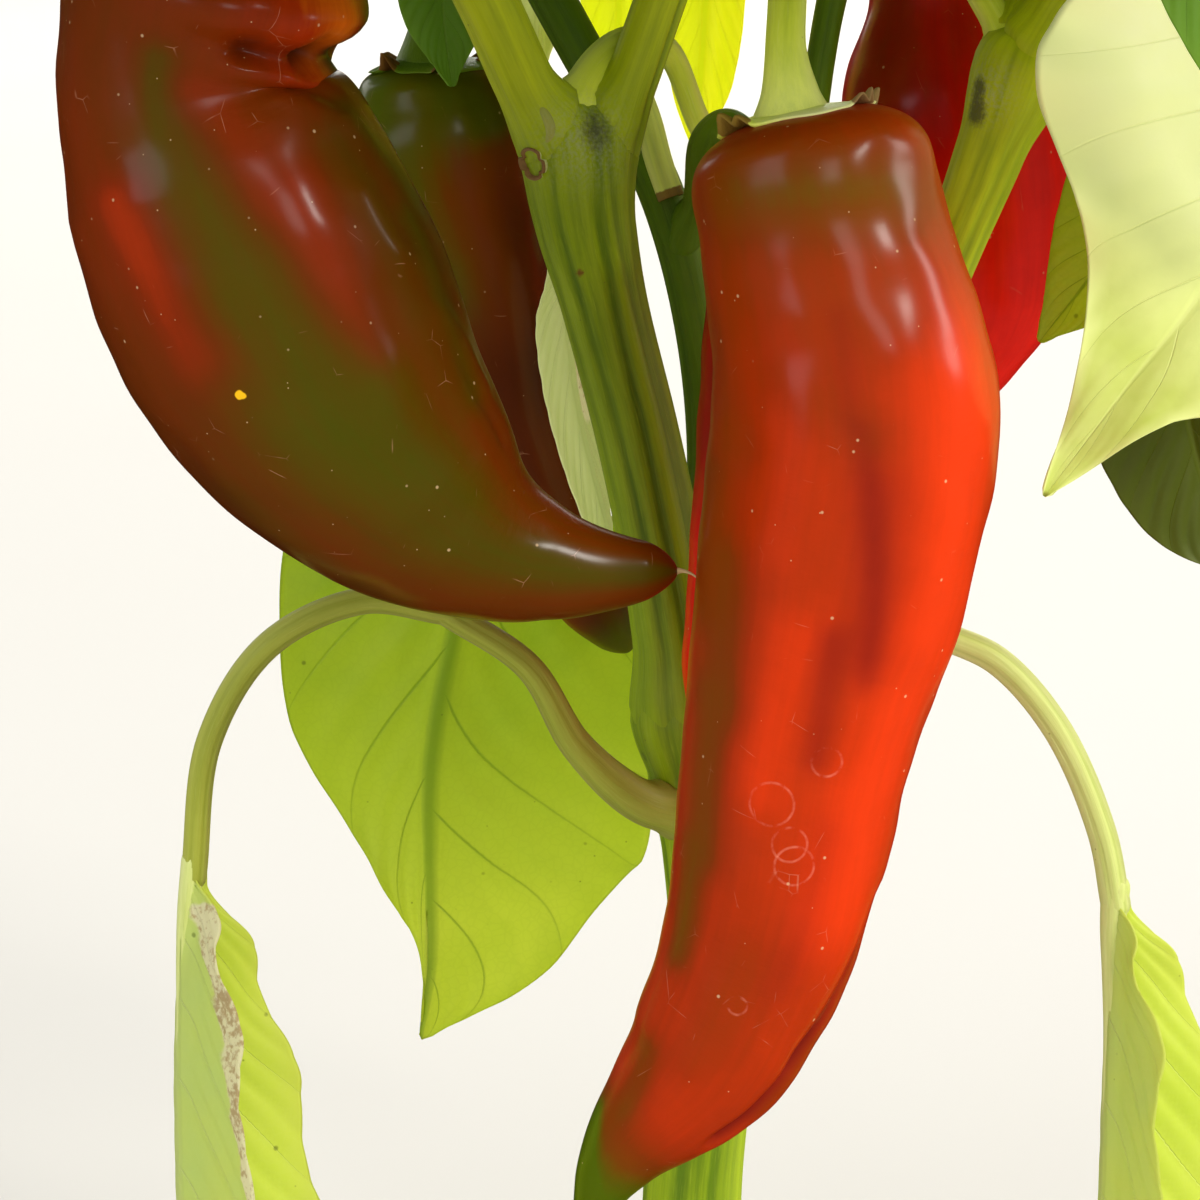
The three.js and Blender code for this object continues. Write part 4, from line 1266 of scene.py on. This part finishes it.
# Leaves that reach down into the fork from the crown, each on its own stalk
lowLeaves = {
    "leaf_behind_right": {
        "midrib": [[101, 2, 305], [88, 6, 281], [76, 9, 257], [64.5, 10, 241]],
        "right": [2, 15, 12, 0.3], "left": [2, 15, 11, 0.3], "facing": [-0.1, -0.98, 0.2],
        "finish": "backlit",
        "stalk": [[84, -5, 331, 1.7], [95, 0, 331, 1.6], [101, 2, 320, 1.5], [101, 2, 304, 1.5]],
        "near": "limb_right_outer",
    },
    "leaf_corner": {
        "midrib": [[70, -50, 345], [78, -55, 328], [88, -58, 308], [97, -58, 290], [104, -56, 272]],
        "right": [2, 12, 15, 10, 0.3], "left": [2, 9, 10, 7, 0.3], "facing": [-0.2, -0.9, 0.4],
        "finish": "fresh",
        "stalk": [[33, -65, 362, 1.6], [48, -58, 370, 1.5], [62, -52, 362, 1.5], [70, -50, 344, 1.5]],
        "near": "bough_front_right",
    },
    "leaf_behind_lime": {
        "midrib": [[4, 60, 350], [3, 61, 325], [3, 61, 300], [2, 60, 284], [1, 60, 271]],
        "right": [2, 7.2, 7, 6, 0.3], "left": [2, 8, 7.6, 6, 0.3], "facing": [0.1, 0.98, 0.1],
        "finish": "lime",
        "stalk": [[-36, 28, 323, 1.6], [-22, 40, 345, 1.5], [-4, 54, 360, 1.5], [4, 60, 349, 1.5]],
        "near": "limb_middle",
    },
    "leaf_behind_olive": {
        "midrib": [[-15, 65, 350], [-15, 66, 325], [-14, 66, 300], [-15, 65, 279]],
        "right": [2, 9, 8, 0.3], "left": [2, 9, 8, 0.3], "facing": [0.1, 0.98, 0.1], "finish": "lime",
        "stalk": [[-37, 29, 324, 1.6], [-30, 44, 348, 1.5], [-18, 60, 362, 1.5], [-15, 65, 349, 1.5]],
        "near": "limb_middle",
    },
    "leaf_behind_cream": {
        "midrib": [[-28, 70, 345], [-29, 71, 318], [-30, 71, 299], [-31, 70, 283]],
        "right": [2, 6, 5.5, 0.3], "left": [2, 6, 5.5, 0.3], "facing": [0.1, 0.98, 0.1], "finish": "pale",
        "stalk": [[-38, 29, 324, 1.6], [-34, 48, 348, 1.5], [-29, 65, 358, 1.5], [-28, 70, 344, 1.5]],
        "near": "limb_middle",
    },
    "leaf_behind_left": {
        "midrib": [[-46, 7, 331], [-46, 6, 318], [-46.5, 5.6, 303], [-45, 6, 289]],
        "right": [2, 9, 9, 0.3], "left": [2, 9, 8, 0.3], "facing": [0.1, -0.98, 0.1], "finish": "fresh",
        "stalk": [[-37, 27, 323, 1.6], [-40, 20, 341, 1.5], [-45, 11, 344, 1.5], [-46, 7, 330, 1.5]],
        "near": "limb_middle",
    },
}
leafLook = {
    "rows": 100, "cols": 61, "thickness": 0.35, "rib": 1.5, "ribReach": 1.7, "quilt": 0.9, "trough": 0.9,
    "troughReach": 2.2, "frill": 0.005, "waves": (3, 0.8), "fold": 8, "curl": 0.1,
}


# The sheet: midrib + across x half width x (side, tilted by the fold) + curl and waves that grow towards
# the margin + a quilt that rises between the side veins. Its two faces lie a thickness apart
def addLeaf(name, leaf, finish, nodes=()):
    look = {**leafLook, **leaf}
    rows, cols = look["rows"], look["cols"]
    down, across = np.meshgrid(np.linspace(0, 1, rows), np.linspace(-1, 1, cols), indexing="ij")
    s = down[:, 0]
    mid = spline(leaf["midrib"], s)
    along = unit(np.gradient(mid, axis=0))
    side = unit(np.cross(np.array(leaf["facing"], float), along))
    face = np.cross(along, side)
    half = np.where(across > 0, eased(leaf["right"], s)[:, None], eased(leaf["left"], s)[:, None])
    rng = np.random.default_rng(len(name) * 7)
    count, height = look["waves"]
    reach = np.abs(across) * half
    fold = math.radians(look["fold"])
    edge = np.abs(across) ** 2.2
    beat = 2 * math.pi * count * down + 2.1 * np.sign(across) + 1.5 * np.sin(5 * down)
    ripple = height * edge * np.sin(beat)
    pillow = np.sin(math.pi * np.clip(sideVein(across, down, veins["pairs"]) * 2, 0, 1))
    quilt = look["quilt"] * pillow * np.clip(reach / 8, 0, 1) * (1 - edge * 0.6)
    trough = -look["trough"] * bell(reach, look["troughReach"]) * np.minimum(half / 10, 1)
    nicks = np.sin(34 * down + rng.uniform(0, 6)) + 0.6 * np.sin(71 * down)
    frill = 1 + look["frill"] * nicks * edge
    lift = reach * math.sin(fold) + look["curl"] * reach ** 2 / np.maximum(half.max(), 1)
    lift = lift + ripple + quilt + trough
    sheet = mid[:, None] + side[:, None] * (across * half * frill * math.cos(fold))[..., None]
    sheet = sheet + face[:, None] * lift[..., None]
    lift = 0.5 * swell(sheet, 30, rng) * np.clip(reach / 10, 0, 1)
    sheet = sheet + face[:, None] * lift[..., None]
    normal = unit(np.cross(np.gradient(sheet, axis=0), np.gradient(sheet, axis=1)))
    normal = normal * np.sign(np.einsum("ijk,ik->ij", normal, face))[..., None]
    rib = look["rib"] * bell(reach, look["ribReach"]) * (1 - 0.75 * down) * np.minimum(half / 3, 1)
    under = sheet - normal * (look["thickness"] + rib)[..., None]
    margin = (np.abs(across) > 0.999) | (down < 1e-6) | (down > 1 - 1e-6)
    under = np.where(margin[..., None], sheet, under)
    harm = np.zeros(down.shape)
    length = runOf(mid)
    for d0, a0, d1, a1, size, value in leaf.get("harm", ()):
        x, y = (across - a0) * half, (down - d0) * length
        dx, dy = (a1 - a0) * half, (d1 - d0) * length
        part = np.clip((x * dx + y * dy) / (dx ** 2 + dy ** 2), 0, 1)
        harm = np.maximum(harm, value * np.exp(-((x - dx * part) ** 2 + (y - dy * part) ** 2) / size ** 2))
    shapes = Shapes()
    at = np.arange(rows * cols).reshape(rows, cols)
    below = np.where(margin, at, at + rows * cols)  # the two faces share the margin's points
    upperFaces = sheetFaces(rows, cols)
    lowerFaces = below.ravel()[upperFaces][:, ::-1]
    layers = {key: np.tile(a.ravel(), 2) for key, a in (("across", across), ("down", down), ("harm", harm))}
    layers["under"] = np.repeat([0.0, 1.0], rows * cols)
    points = np.concatenate([sheet.reshape(-1, 3), under.reshape(-1, 3)])
    kept = np.unique(np.concatenate([upperFaces.ravel(), lowerFaces.ravel()]))
    renumbered = np.zeros(len(points), int)
    renumbered[kept] = np.arange(len(kept))
    faces = renumbered[np.vstack([upperFaces, lowerFaces])]
    shapes.add(points[kept], faces, layers={k: v[kept] for k, v in layers.items()})
    addPiece(f"{name}_blade", shapes, [finish], nodes)


# Painted light: the backlit, grey, pale and lime blades glow in their own colours, the pale blade is painted
# near white as it looks in full sun, and the backlit and lime blades as bright as they look with sun through
# them
leafSkins = {
    "hanging": leafFinish(
        "hanging leaf", ((212, 228, 74), (202, 220, 124), (228, 234, 162), (220, 228, 96)), 0.35, 0.4,
        specks=0.3, net=0.03,
    ),
    "backlit": leafFinish(
        "backlit leaf", ((150, 180, 4), (158, 188, 6), (98, 140, 4), (188, 206, 30)), 0.5, 0.55,
        specks=0.5, net=0.05, tip=(222, 230, 74), glow=0.03,
    ),
    "grey": leafFinish(
        "grey leaf", ((218, 224, 160), (206, 214, 140), (226, 228, 176), (220, 224, 160)), 0.3, 0.1, glow=0.3,
    ),
    "pale": leafFinish(
        "pale leaf", ((255, 255, 204), (246, 252, 180), (236, 244, 150), (250, 254, 176)), 0.12, 0.35,
        tip=(176, 194, 16), glow=0.18,
    ),
    "fresh": leafFinish(
        "green low leaf", ((120, 168, 40), (126, 168, 50), (150, 186, 70), (132, 176, 44)), 0.35, 0.4,
        net=0.04,
    ),
    "lime": leafFinish(
        "lime leaf", ((246, 252, 40), (240, 250, 36), (210, 228, 20), (250, 252, 70)), 0.65, 0.3,
        net=0.03, glow=0.35,
    ),
    # painted shade: the dark leaf takes the deep olive it shows in the shade of the crown
    "dark": leafFinish(
        "dark leaf", ((84, 96, 0), (92, 104, 4), (112, 124, 20), (96, 108, 4)), 0.2, 0.4, net=0.04,
    ),
}


lowLook = {
    "midribRows": 90, "midribGrooves": [(-40, 0.2), (25, 0.15)], "stalkRows": 50, "fillet": 3, "sides": 24,
}


# A leaf stalk runs on as the blade's midrib: the bar lies behind the sheet's middle and tapers off
def addMidrib(name, leaf, finish):
    share = np.linspace(0, 0.86, 9)
    mid = spline(leaf["midrib"], share)
    thick = leaf["ribs"] * (1 - share) ** 1.6 + 0.25
    facing = unit(np.array(leaf["facing"], float))
    stations = np.column_stack([mid - facing * (thick * 0.55 * np.minimum(share * 6, 1))[:, None], thick])
    bar = Bar(stations, lowLook["midribRows"], lowLook["midribGrooves"])
    addStemPiece(f"{name}_midrib", bar, [], lowLook["fillet"], finish, lowLook["sides"])


def addLeaves():
    for name, leaf in leaves.items():
        addLeaf(name, leaf, leafSkins[leaf["finish"]], [name])
        if "ribs" in leaf:
            addMidrib(name, leaf, petiolePale)
    for name, leaf in lowLeaves.items():
        addLeaf(name, leaf, leafSkins[leaf["finish"]])
        bar = Bar(leaf["stalk"], lowLook["stalkRows"])
        addStemPiece(
            f"{name}_stalk", bar, [leaf["near"]], lowLook["fillet"], petioleGreen,
            lowLook["sides"],
        )


addLeaves()
print("leaves made")

# crown

crownLook = {
    "tips": 30, "spread": (0.4, 0.86), "jitter": 0.16, "twigRows": 8, "twigSides": 6, "twigRadius": 2.0,
    "tipRadius": 0.95,
    "leafLength": (54, 92), "leafWidth": 0.29, "leafPeak": 0.4, "stalkLength": (10, 26),
    "leafRows": 10, "leafCols": 7, "tries": 6,
    "tones": [0.34, 0.36, 0.22, 0.08],  # shares of the sprays that take each leaf finish
    "blossomShare": 0.13, "smallFruitShare": 0.09,
}
littleEnd = [(0.0, 1.0), (0.5, 0.8), (0.75, 0.0)]
pointEnd = [(0.0, 1.0), (0.8, 0.0)]


def inView(points):
    tip = math.radians(camera["pitchDown"])
    away = np.asarray(points) - camera["eye"]
    depth = away[..., 1] * math.cos(tip) - away[..., 2] * math.sin(tip)
    high = away[..., 1] * math.sin(tip) + away[..., 2] * math.cos(tip)
    half = depth * camera["sensor"] / camera["lens"] / 2
    return (np.abs(away[..., 0]) < half) & (np.abs(high) < half)


def addTube(shapes, stations, rows, sides, ends=(littleEnd, littleEnd)):
    points, _, _, angle, deep, grain, faces = Bar(stations, rows, (), ends).flatSkin(sides)
    shapes.add(points, *faces, layers=stemLayers(points, angle, deep, grain))


# The twigs of one mass. Joints start along the bough inside the mass. The tips lie evenly through the
# mass on a golden spiral with some jitter. Each, nearest first, grows from the joint that is nearest and
# best heads towards it, in a curve that leaves in that joint's own direction, and adds joints of its own
def growTwigs(mass, bough, rng, shapes):
    centre, size = np.array(mass["at"], float), np.array(mass["size"], float)
    order = np.arange(crownLook["tips"]) + 0.5
    polar, around = np.arccos(1 - 2 * order / len(order)), math.pi * (1 + math.sqrt(5)) * order
    ways = np.column_stack([np.cos(around) * np.sin(polar), np.sin(around) * np.sin(polar), np.cos(polar)])
    ways = unit(ways + rng.normal(scale=crownLook["jitter"], size=ways.shape))
    tips = centre + ways * size * rng.uniform(*crownLook["spread"], (len(ways), 1))
    line, along, _, _, radius = bough.rows
    inside = (((line - centre) / size) ** 2).sum(axis=1) < 0.9
    joints = [(line[i], along[i], radius[i]) for i in np.flatnonzero(inside)[::4]]
    twigs = []
    waiting = list(range(len(tips)))
    while waiting:
        places, headings = np.array([j[0] for j in joints]), np.array([j[1] for j in joints])
        way = tips[waiting][:, None] - places
        gaps = np.linalg.norm(way, axis=2)
        ahead = (way * headings).sum(axis=2) / np.maximum(gaps, 1e-6)
        tipIndex, joint = np.unravel_index(np.argmin(gaps * (1.5 - 0.5 * ahead)), gaps.shape)
        gap = gaps[tipIndex, joint]
        tip = tips[waiting.pop(tipIndex)]
        start, way, startRadius = joints[joint]
        first = min(startRadius * 0.85, crownLook["twigRadius"])
        bend = start + unit(0.5 * way + unit(tip - start)) * gap * 0.35
        beyond = start + (tip - start) * 0.7 + np.array([0, 0, 0.04 * gap])
        last = max(first * 0.62, crownLook["tipRadius"])
        stations = [[*start, first], [*bend, first * 0.85], [*beyond, first * 0.7], [*tip, last]]
        addTube(shapes, stations, crownLook["twigRows"], crownLook["twigSides"])
        line, along, _, _, radius = lineAt(stations, np.array([0.4, 0.7, 1.0]))
        joints += [(line[i], along[i], radius[i]) for i in range(3)]
        twigs.append((line, unit((tip - centre) / size)))
    return twigs


# Blades as whole arrays: each bends down along its midrib by an angle that grows evenly, folds up a
# little on both sides, and waves at its margin. Shape (blades, rows, columns, 3)
def bladeGrid(base, way, up, length, bend, fold, phase):
    steps = np.linspace(0, 1, crownLook["leafRows"]), np.linspace(-1, 1, crownLook["leafCols"])
    down, across = (a[None] for a in np.meshgrid(*steps, indexing="ij"))
    base, way, up, side = (a[:, None, None] for a in (base, way, up, np.cross(way, up)))
    length, fold, phase = (a[:, None, None] for a in (length, fold, phase))
    bend = bend[:, None, None] + 1e-4
    turned = bend * down
    forward, drop = np.sin(turned) / bend, (1 - np.cos(turned)) / bend
    peak = crownLook["leafPeak"]
    outline = (np.maximum(down, 0.004) / peak) ** 0.62 * ((1 - down * 0.998) / (1 - peak)) ** 0.93
    half = length * crownLook["leafWidth"] * outline
    out = np.abs(across)
    lift = half * out * np.sin(fold)
    lift = lift + 0.05 * half * out ** 2 * np.sin(9 * down + phase + 2 * np.sign(across))
    lift = lift + 0.03 * length * out * np.sin(5 * down + 2 * phase) * np.sign(across)
    ups = np.cos(turned)[..., None] * up + np.sin(turned)[..., None] * way
    spine = base + way * (forward * length)[..., None] - up * (drop * length)[..., None]
    points = spine + side * (across * half * np.cos(fold))[..., None] + ups * lift[..., None]
    return points, np.broadcast_to(across, half.shape), np.broadcast_to(down, half.shape)


def facesOf(faces, count, each):
    return (faces[None] + (np.arange(count) * each)[:, None, None]).reshape(-1, faces.shape[1])


# Sprays at the tips and half way along the twigs: blades on thin stalks, facing up and outward. Each tries
# a few ways to lie, less and less outward and long, until it keeps to the mass's outline and out of the
# photo's view
def growLeaves(name, mass, twigs, rng, twigShapes):
    starts, outs, tones = [], [], []
    for line, outward in twigs:
        tone = rng.choice(len(crownLook["tones"]), p=crownLook["tones"])
        for place, count in ((line[2], rng.integers(3, 5)), (line[1], rng.integers(1, 3))):
            starts += [place] * count
            outs += [outward] * count
            tones += [tone] * count
    starts, outs, tones = np.array(starts), np.array(outs), np.array(tones)
    centre, size = np.array(mass["at"], float), np.array(mass["size"], float) + [9, 9, 7]
    shapes = Shapes()
    waiting, total = np.arange(len(starts)), 0
    for attempt in range(crownLook["tries"]):
        count = len(waiting)
        around = unit(rng.normal(size=(count, 3)) * [1, 1, 0.5])
        ways = unit(outs[waiting] * (1 - 0.2 * attempt) + around - [0, 0, 0.3])
        reach = rng.uniform(*crownLook["stalkLength"], (count, 1))
        bases = starts[waiting] + ways * reach - np.array([0, 0, 0.12]) * reach
        bladeWays = unit(ways * [1, 1, 0.5] - np.array([0, 0, 1]) * rng.uniform(0.1, 0.85, (count, 1)))
        ups = outs[waiting] * 0.5 + [0, 0, 0.9] + rng.normal(scale=0.2, size=(count, 3))
        ups = unit(ups - (ups * bladeWays).sum(axis=1, keepdims=True) * bladeWays)
        length = rng.uniform(*crownLook["leafLength"], count) * (1 - 0.07 * attempt)
        ranges = (0.2, 1.0), (0.1, 0.45), (0, 6.3)
        bend, fold, phase = (rng.uniform(low, high, count) for low, high in ranges)
        points, across, down = bladeGrid(bases, bladeWays, ups, length, bend, fold, phase)
        spill = ((((points - centre) / size) ** 2).sum(axis=-1) > 1.1).any(axis=(1, 2))
        fits = ~(inView(points).any(axis=(1, 2)) | spill)
        kept = np.flatnonzero(fits)
        each = down[0].size
        none = np.zeros(len(kept) * each)
        layers = {"across": across[kept].ravel(), "down": down[kept].ravel(), "under": none, "harm": none}
        faces = sheetFaces(*down.shape[1:])
        shapes.add(
            points[kept].reshape(-1, 3), facesOf(faces, len(kept), each), layers=layers,
            finish=np.repeat(tones[waiting[kept]], len(faces)), closed=False,
        )
        for i in kept:
            start = starts[waiting[i]]
            middle = (start + bases[i]) / 2 + [0, 0, 0.07 * reach[i, 0]]
            stations = [[*start, 0.95], [*middle, 0.85], [*bases[i], 0.75]]
            addTube(twigShapes, stations, 4, 4, (pointEnd, pointEnd))
        waiting = waiting[~fits]
        total += len(kept)
    addPiece(f"crown_leaves_{name}", shapes, crownSkins, [f"mass_{name}"])
    return total


# Copies of one small shape: its points in copies' own directions, at their places
def copies(points, places, axes, scales):
    return (places[:, None] + np.einsum("kj,njx->nkx", points, axes) * scales[:, None, None]).reshape(-1, 3)


# Three directions for each copy, the third along way
def axesFrom(way, rng):
    first = unit(np.cross(way, rng.normal(size=way.shape)))
    return np.stack([first, np.cross(way, first), way], axis=1)


# stations, rows and sides of the small tubes, which lie along their own z
blossomLook = {
    "petals": 6, "rows": 5, "cols": 3, "scale": (0.85, 1.2),
    "heart": [[0, 0, 0, 1.5], [0, 0, 2.5, 1.7], [0, 0, 5, 0.7]],
    "cup": [[0, 0, -2.6, 1.6], [0, 0, -1, 2.6], [0, 0, 0.4, 2.2]],
    "tubeRows": 5, "tubeSides": 8,
}
youngLook = {
    "scale": (0.55, 1.25), "ripe": (0.0, 0.22), "drop": 15, "sway": 0.18,
    "body": [[0, 0, 0, 4.6], [0.3, 0, -6, 6], [1, 0, -17, 5], [2.4, 0, -30, 3], [3.6, 0, -39, 0.8]],
    "grooves": ((-60, 0.5), (60, 0.5), (180, 0.5)),
    "cap": [[0, 0, 6, 2.2], [0, 0, 3.4, 3.6], [0, 0, -0.6, 5.6]],
    "stalk": [[-9, 0, 15, 1.1], [-3, 0, 15.5, 1.2], [0, 0, 11, 1.3], [0, 0, 4, 2.2]],
}


# A blossom of six petals, bent back from its middle, with a cone of anthers and a green cup
def addBlossom(places, ways, rng):
    look = blossomLook
    rows, cols = look["rows"], look["cols"]
    down, across = np.meshgrid(np.linspace(0, 1, rows), np.linspace(-1, 1, cols), indexing="ij")
    half = 3.3 * np.sqrt(np.maximum(down, 0.02)) * (1 - down ** 3) + 0.35
    x, y, z = 1.6 + 8.6 * down, across * half, 1.2 * down - 3.2 * down ** 2 - 0.5 * np.abs(across)
    turns = (np.arange(look["petals"]) * 2 * math.pi / look["petals"])[:, None, None]
    petal = [x * np.cos(turns) - y * np.sin(turns), x * np.sin(turns) + y * np.cos(turns), z + 0 * turns]
    petalPoints = np.stack(petal, -1).reshape(-1, 3)
    petalFaces = facesOf(sheetFaces(rows, cols), look["petals"], rows * cols)
    axes, scales = axesFrom(ways, rng), rng.uniform(*look["scale"], len(places))
    shapes = Shapes()
    petals = facesOf(petalFaces, len(places), len(petalPoints))
    shapes.add(copies(petalPoints, places, axes, scales), petals, closed=False)
    for finish, kind in ((1, "heart"), (2, "cup")):
        bar = Bar(look[kind], look["tubeRows"], (), (littleEnd, littleEnd))
        points, *_, faces = bar.flatSkin(look["tubeSides"])
        quads, tris = (facesOf(a, len(places), len(points)) for a in faces)
        shapes.add(copies(points, places, axes, scales), quads, tris, finish=finish)
    addPiece("crown_blossom", shapes, [petalSkin, antherSkin, cupSkin])


# Young fruits, green, each hanging from a bent stalk under a small cap
def addYoungFruits(places, rng):
    look, count = youngLook, len(places)
    ways = unit(np.array([0, 0, 1.0]) + rng.normal(scale=look["sway"], size=(count, 3)))
    axes, scales = axesFrom(ways, rng), rng.uniform(*look["scale"], count)
    hang = places - ways * (look["drop"] * scales)[:, None]
    shapes = Shapes()
    ripeness = rng.uniform(*look["ripe"], count)
    for bar, sides, finish in (
        (Bar(look["body"], 14, look["grooves"], (roundEnd, littleEnd), -1), 18, 0),
        (Bar(look["cap"], 6, (), (littleEnd, flatEnd), -1), 12, 1),
        (Bar(look["stalk"], 9, (), (littleEnd, littleEnd), -1), 7, 1),
    ):
        points, *_, grain, faces = bar.flatSkin(sides)
        none = np.zeros(count * len(points))
        farAway = np.tile(points, (count, 1)) + 1e4  # out of reach of the stems' stains
        layers = stemLayers(farAway, none, 0.0, np.tile(grain, (count, 1)))
        layers.update({"ripe": np.repeat(ripeness, len(points)), "shade": none, "groove": none})
        quads, tris = (facesOf(a, count, len(points)) for a in faces)
        shapes.add(copies(points, hang, axes, scales), quads, tris, layers, finish)
    addPiece("crown_young_fruit", shapes, [fruitSkins["turning"], stalkGreen])


crownSkins = [
    leafFinish(name, colours, through, 0.5, net=0.12)
    for name, colours, through in (
        ("fresh leaf", ((126, 160, 40), (150, 176, 80), (164, 186, 84), (112, 148, 34)), 0.25),
        ("middle leaf", ((92, 132, 32), (130, 156, 74), (140, 166, 74), (78, 116, 26)), 0.22),
        ("deep leaf", ((64, 104, 26), (110, 138, 66), (116, 146, 60), (54, 90, 20)), 0.18),
        ("yellowing leaf", ((186, 196, 52), (190, 200, 90), (158, 178, 54), (206, 208, 80)), 0.3),
    )
]
petalSkin = plainFinish("petal", (240, 240, 228), (222, 226, 204), 0.5)
antherSkin = plainFinish("anthers", (150, 140, 150), (196, 190, 120), 0.6)
cupSkin = plainFinish("flower cup", (120, 150, 54), (96, 128, 40), 0.5)


def addCrown():
    twigShapes = Shapes()
    blossom, young, total = [], [], 0
    for name, mass in masses.items():
        rng = np.random.default_rng(mass["seed"])
        twigs = growTwigs(mass, bars[f"bough_{name}"], rng, twigShapes)
        total += growLeaves(name, mass, twigs, rng, twigShapes)
        for line, outward in twigs:
            chance = rng.uniform()
            hang = line[2] + outward * 7 - np.array([0, 0, 9.0])
            if inView(hang - [[0, 0, 45], [0, 0, 70], [0, 0, 20]]).any():
                continue
            if chance < crownLook["blossomShare"]:
                blossom.append((line[2], hang, unit(outward * 0.8 - [0, 0, 0.6])))
            elif chance < crownLook["blossomShare"] + crownLook["smallFruitShare"]:
                young.append((line[2], hang))
    for items, first, middle, rise in ((blossom, 0.9, 0.8, 3), (young, 1.3, 1.1, 2)):
        for start, hang, *_ in items:
            halfway = (start + hang) / 2 + [0, 0, rise]
            addTube(twigShapes, [[*start, first], [*halfway, middle], [*hang, 1.1]], 6, 6)
    rng = np.random.default_rng(99)
    addPiece("crown_twigs", twigShapes, [twigGreen])
    addBlossom(np.array([b[1] for b in blossom]), np.array([b[2] for b in blossom]), rng)
    addYoungFruits(np.array([y[1] for y in young]), rng)
    print("crown made:", total, "leaves,", len(blossom), "blossoms,", len(young), "young fruits")


addCrown()

# stage


aimPoint = (0, 0, 0.22)  # what the lamps point at, in metres


def addLight(name, azimuth, elevation, distance, size, power, colour):
    data = bpy.data.lights.new(name, "AREA")
    data.shape, data.size, data.size_y, data.energy, data.color = "RECTANGLE", *size, power, colour
    lamp = addObject(name, data)
    lamp.visible_camera = False
    a, e = math.radians(azimuth), math.radians(elevation)
    way = np.array([math.sin(a) * math.cos(e), -math.cos(a) * math.cos(e), math.sin(e)])
    lamp.location = np.array(aimPoint) + way * distance
    # the light shines along its own -Z, turned about Z and then tipped
    lamp.rotation_euler = (math.pi / 2 - e, 0, a)


# azimuth 0 is the viewer's side, 90 the viewer's right; size and distance in metres
lights = [
    ("front_fill", 14, 22, 5, (1.2, 1.6), 29, (1.0, 0.98, 0.95)),
    ("tall_left", -46, 22, 5, (2.2, 3.2), 60, (0.86, 0.88, 1.0)),
    ("key_right", 48, 32, 5, (0.9, 0.9), 108, (1.0, 0.97, 0.9)),
    ("side_right", 92, 22, 5, (1.0, 2.6), 105, (1.0, 0.95, 0.9)),
    ("overhead", 0, 80, 5, (4.0, 4.0), 44, (1.0, 0.99, 0.96)),
    ("rim_back", 150, 28, 5, (2.6, 2.4), 66, (1.0, 0.97, 0.88)),
    ("back_left", -140, 22, 5, (2.6, 2.4), 52, (1.0, 0.98, 0.92)),
    ("back_low", 176, 15, 5.5, (2.2, 1.6), 60, (1.0, 0.98, 0.9)),
]
floorLook = {
    "radius": 30, "sides": 96, "colour": paint(208, 206, 201), "patches": paint(200, 197, 190),
    "worldColour": paint(238, 238, 236), "worldStrength": 0.84,
}


def addStage():
    for light in lights:
        addLight(*light)
    world = bpy.data.worlds.new("studio")
    bpy.context.scene.world = world
    world.use_nodes = True
    background = world.node_tree.nodes["Background"]
    background.inputs["Color"].default_value = (*floorLook["worldColour"], 1)
    background.inputs["Strength"].default_value = floorLook["worldStrength"]
    world.cycles_visibility.glossy = False  # the wax mirrors the lamps and not the empty room
    turns = np.linspace(0, 2 * math.pi, floorLook["sides"], endpoint=False)
    rim = np.column_stack([np.cos(turns), np.sin(turns), 0 * turns]) * floorLook["radius"]
    mesh = bpy.data.meshes.new("floor")
    mesh.from_pydata(rim.tolist(), [], [list(range(len(rim)))])
    f = Finish("floor")
    colour = f.blend(f.noise(3, 3).rise(0.3, 0.7) * 0.1, floorLook["colour"], floorLook["patches"])
    mesh.materials.append(f.close({"Base Color": colour, "Roughness": 0.9}).material)
    floor = addObject("floor", mesh)
    floor.visible_glossy = False  # nor the floor
    bpy.context.scene.view_settings.view_transform = "Standard"


addStage()
print("stage made")
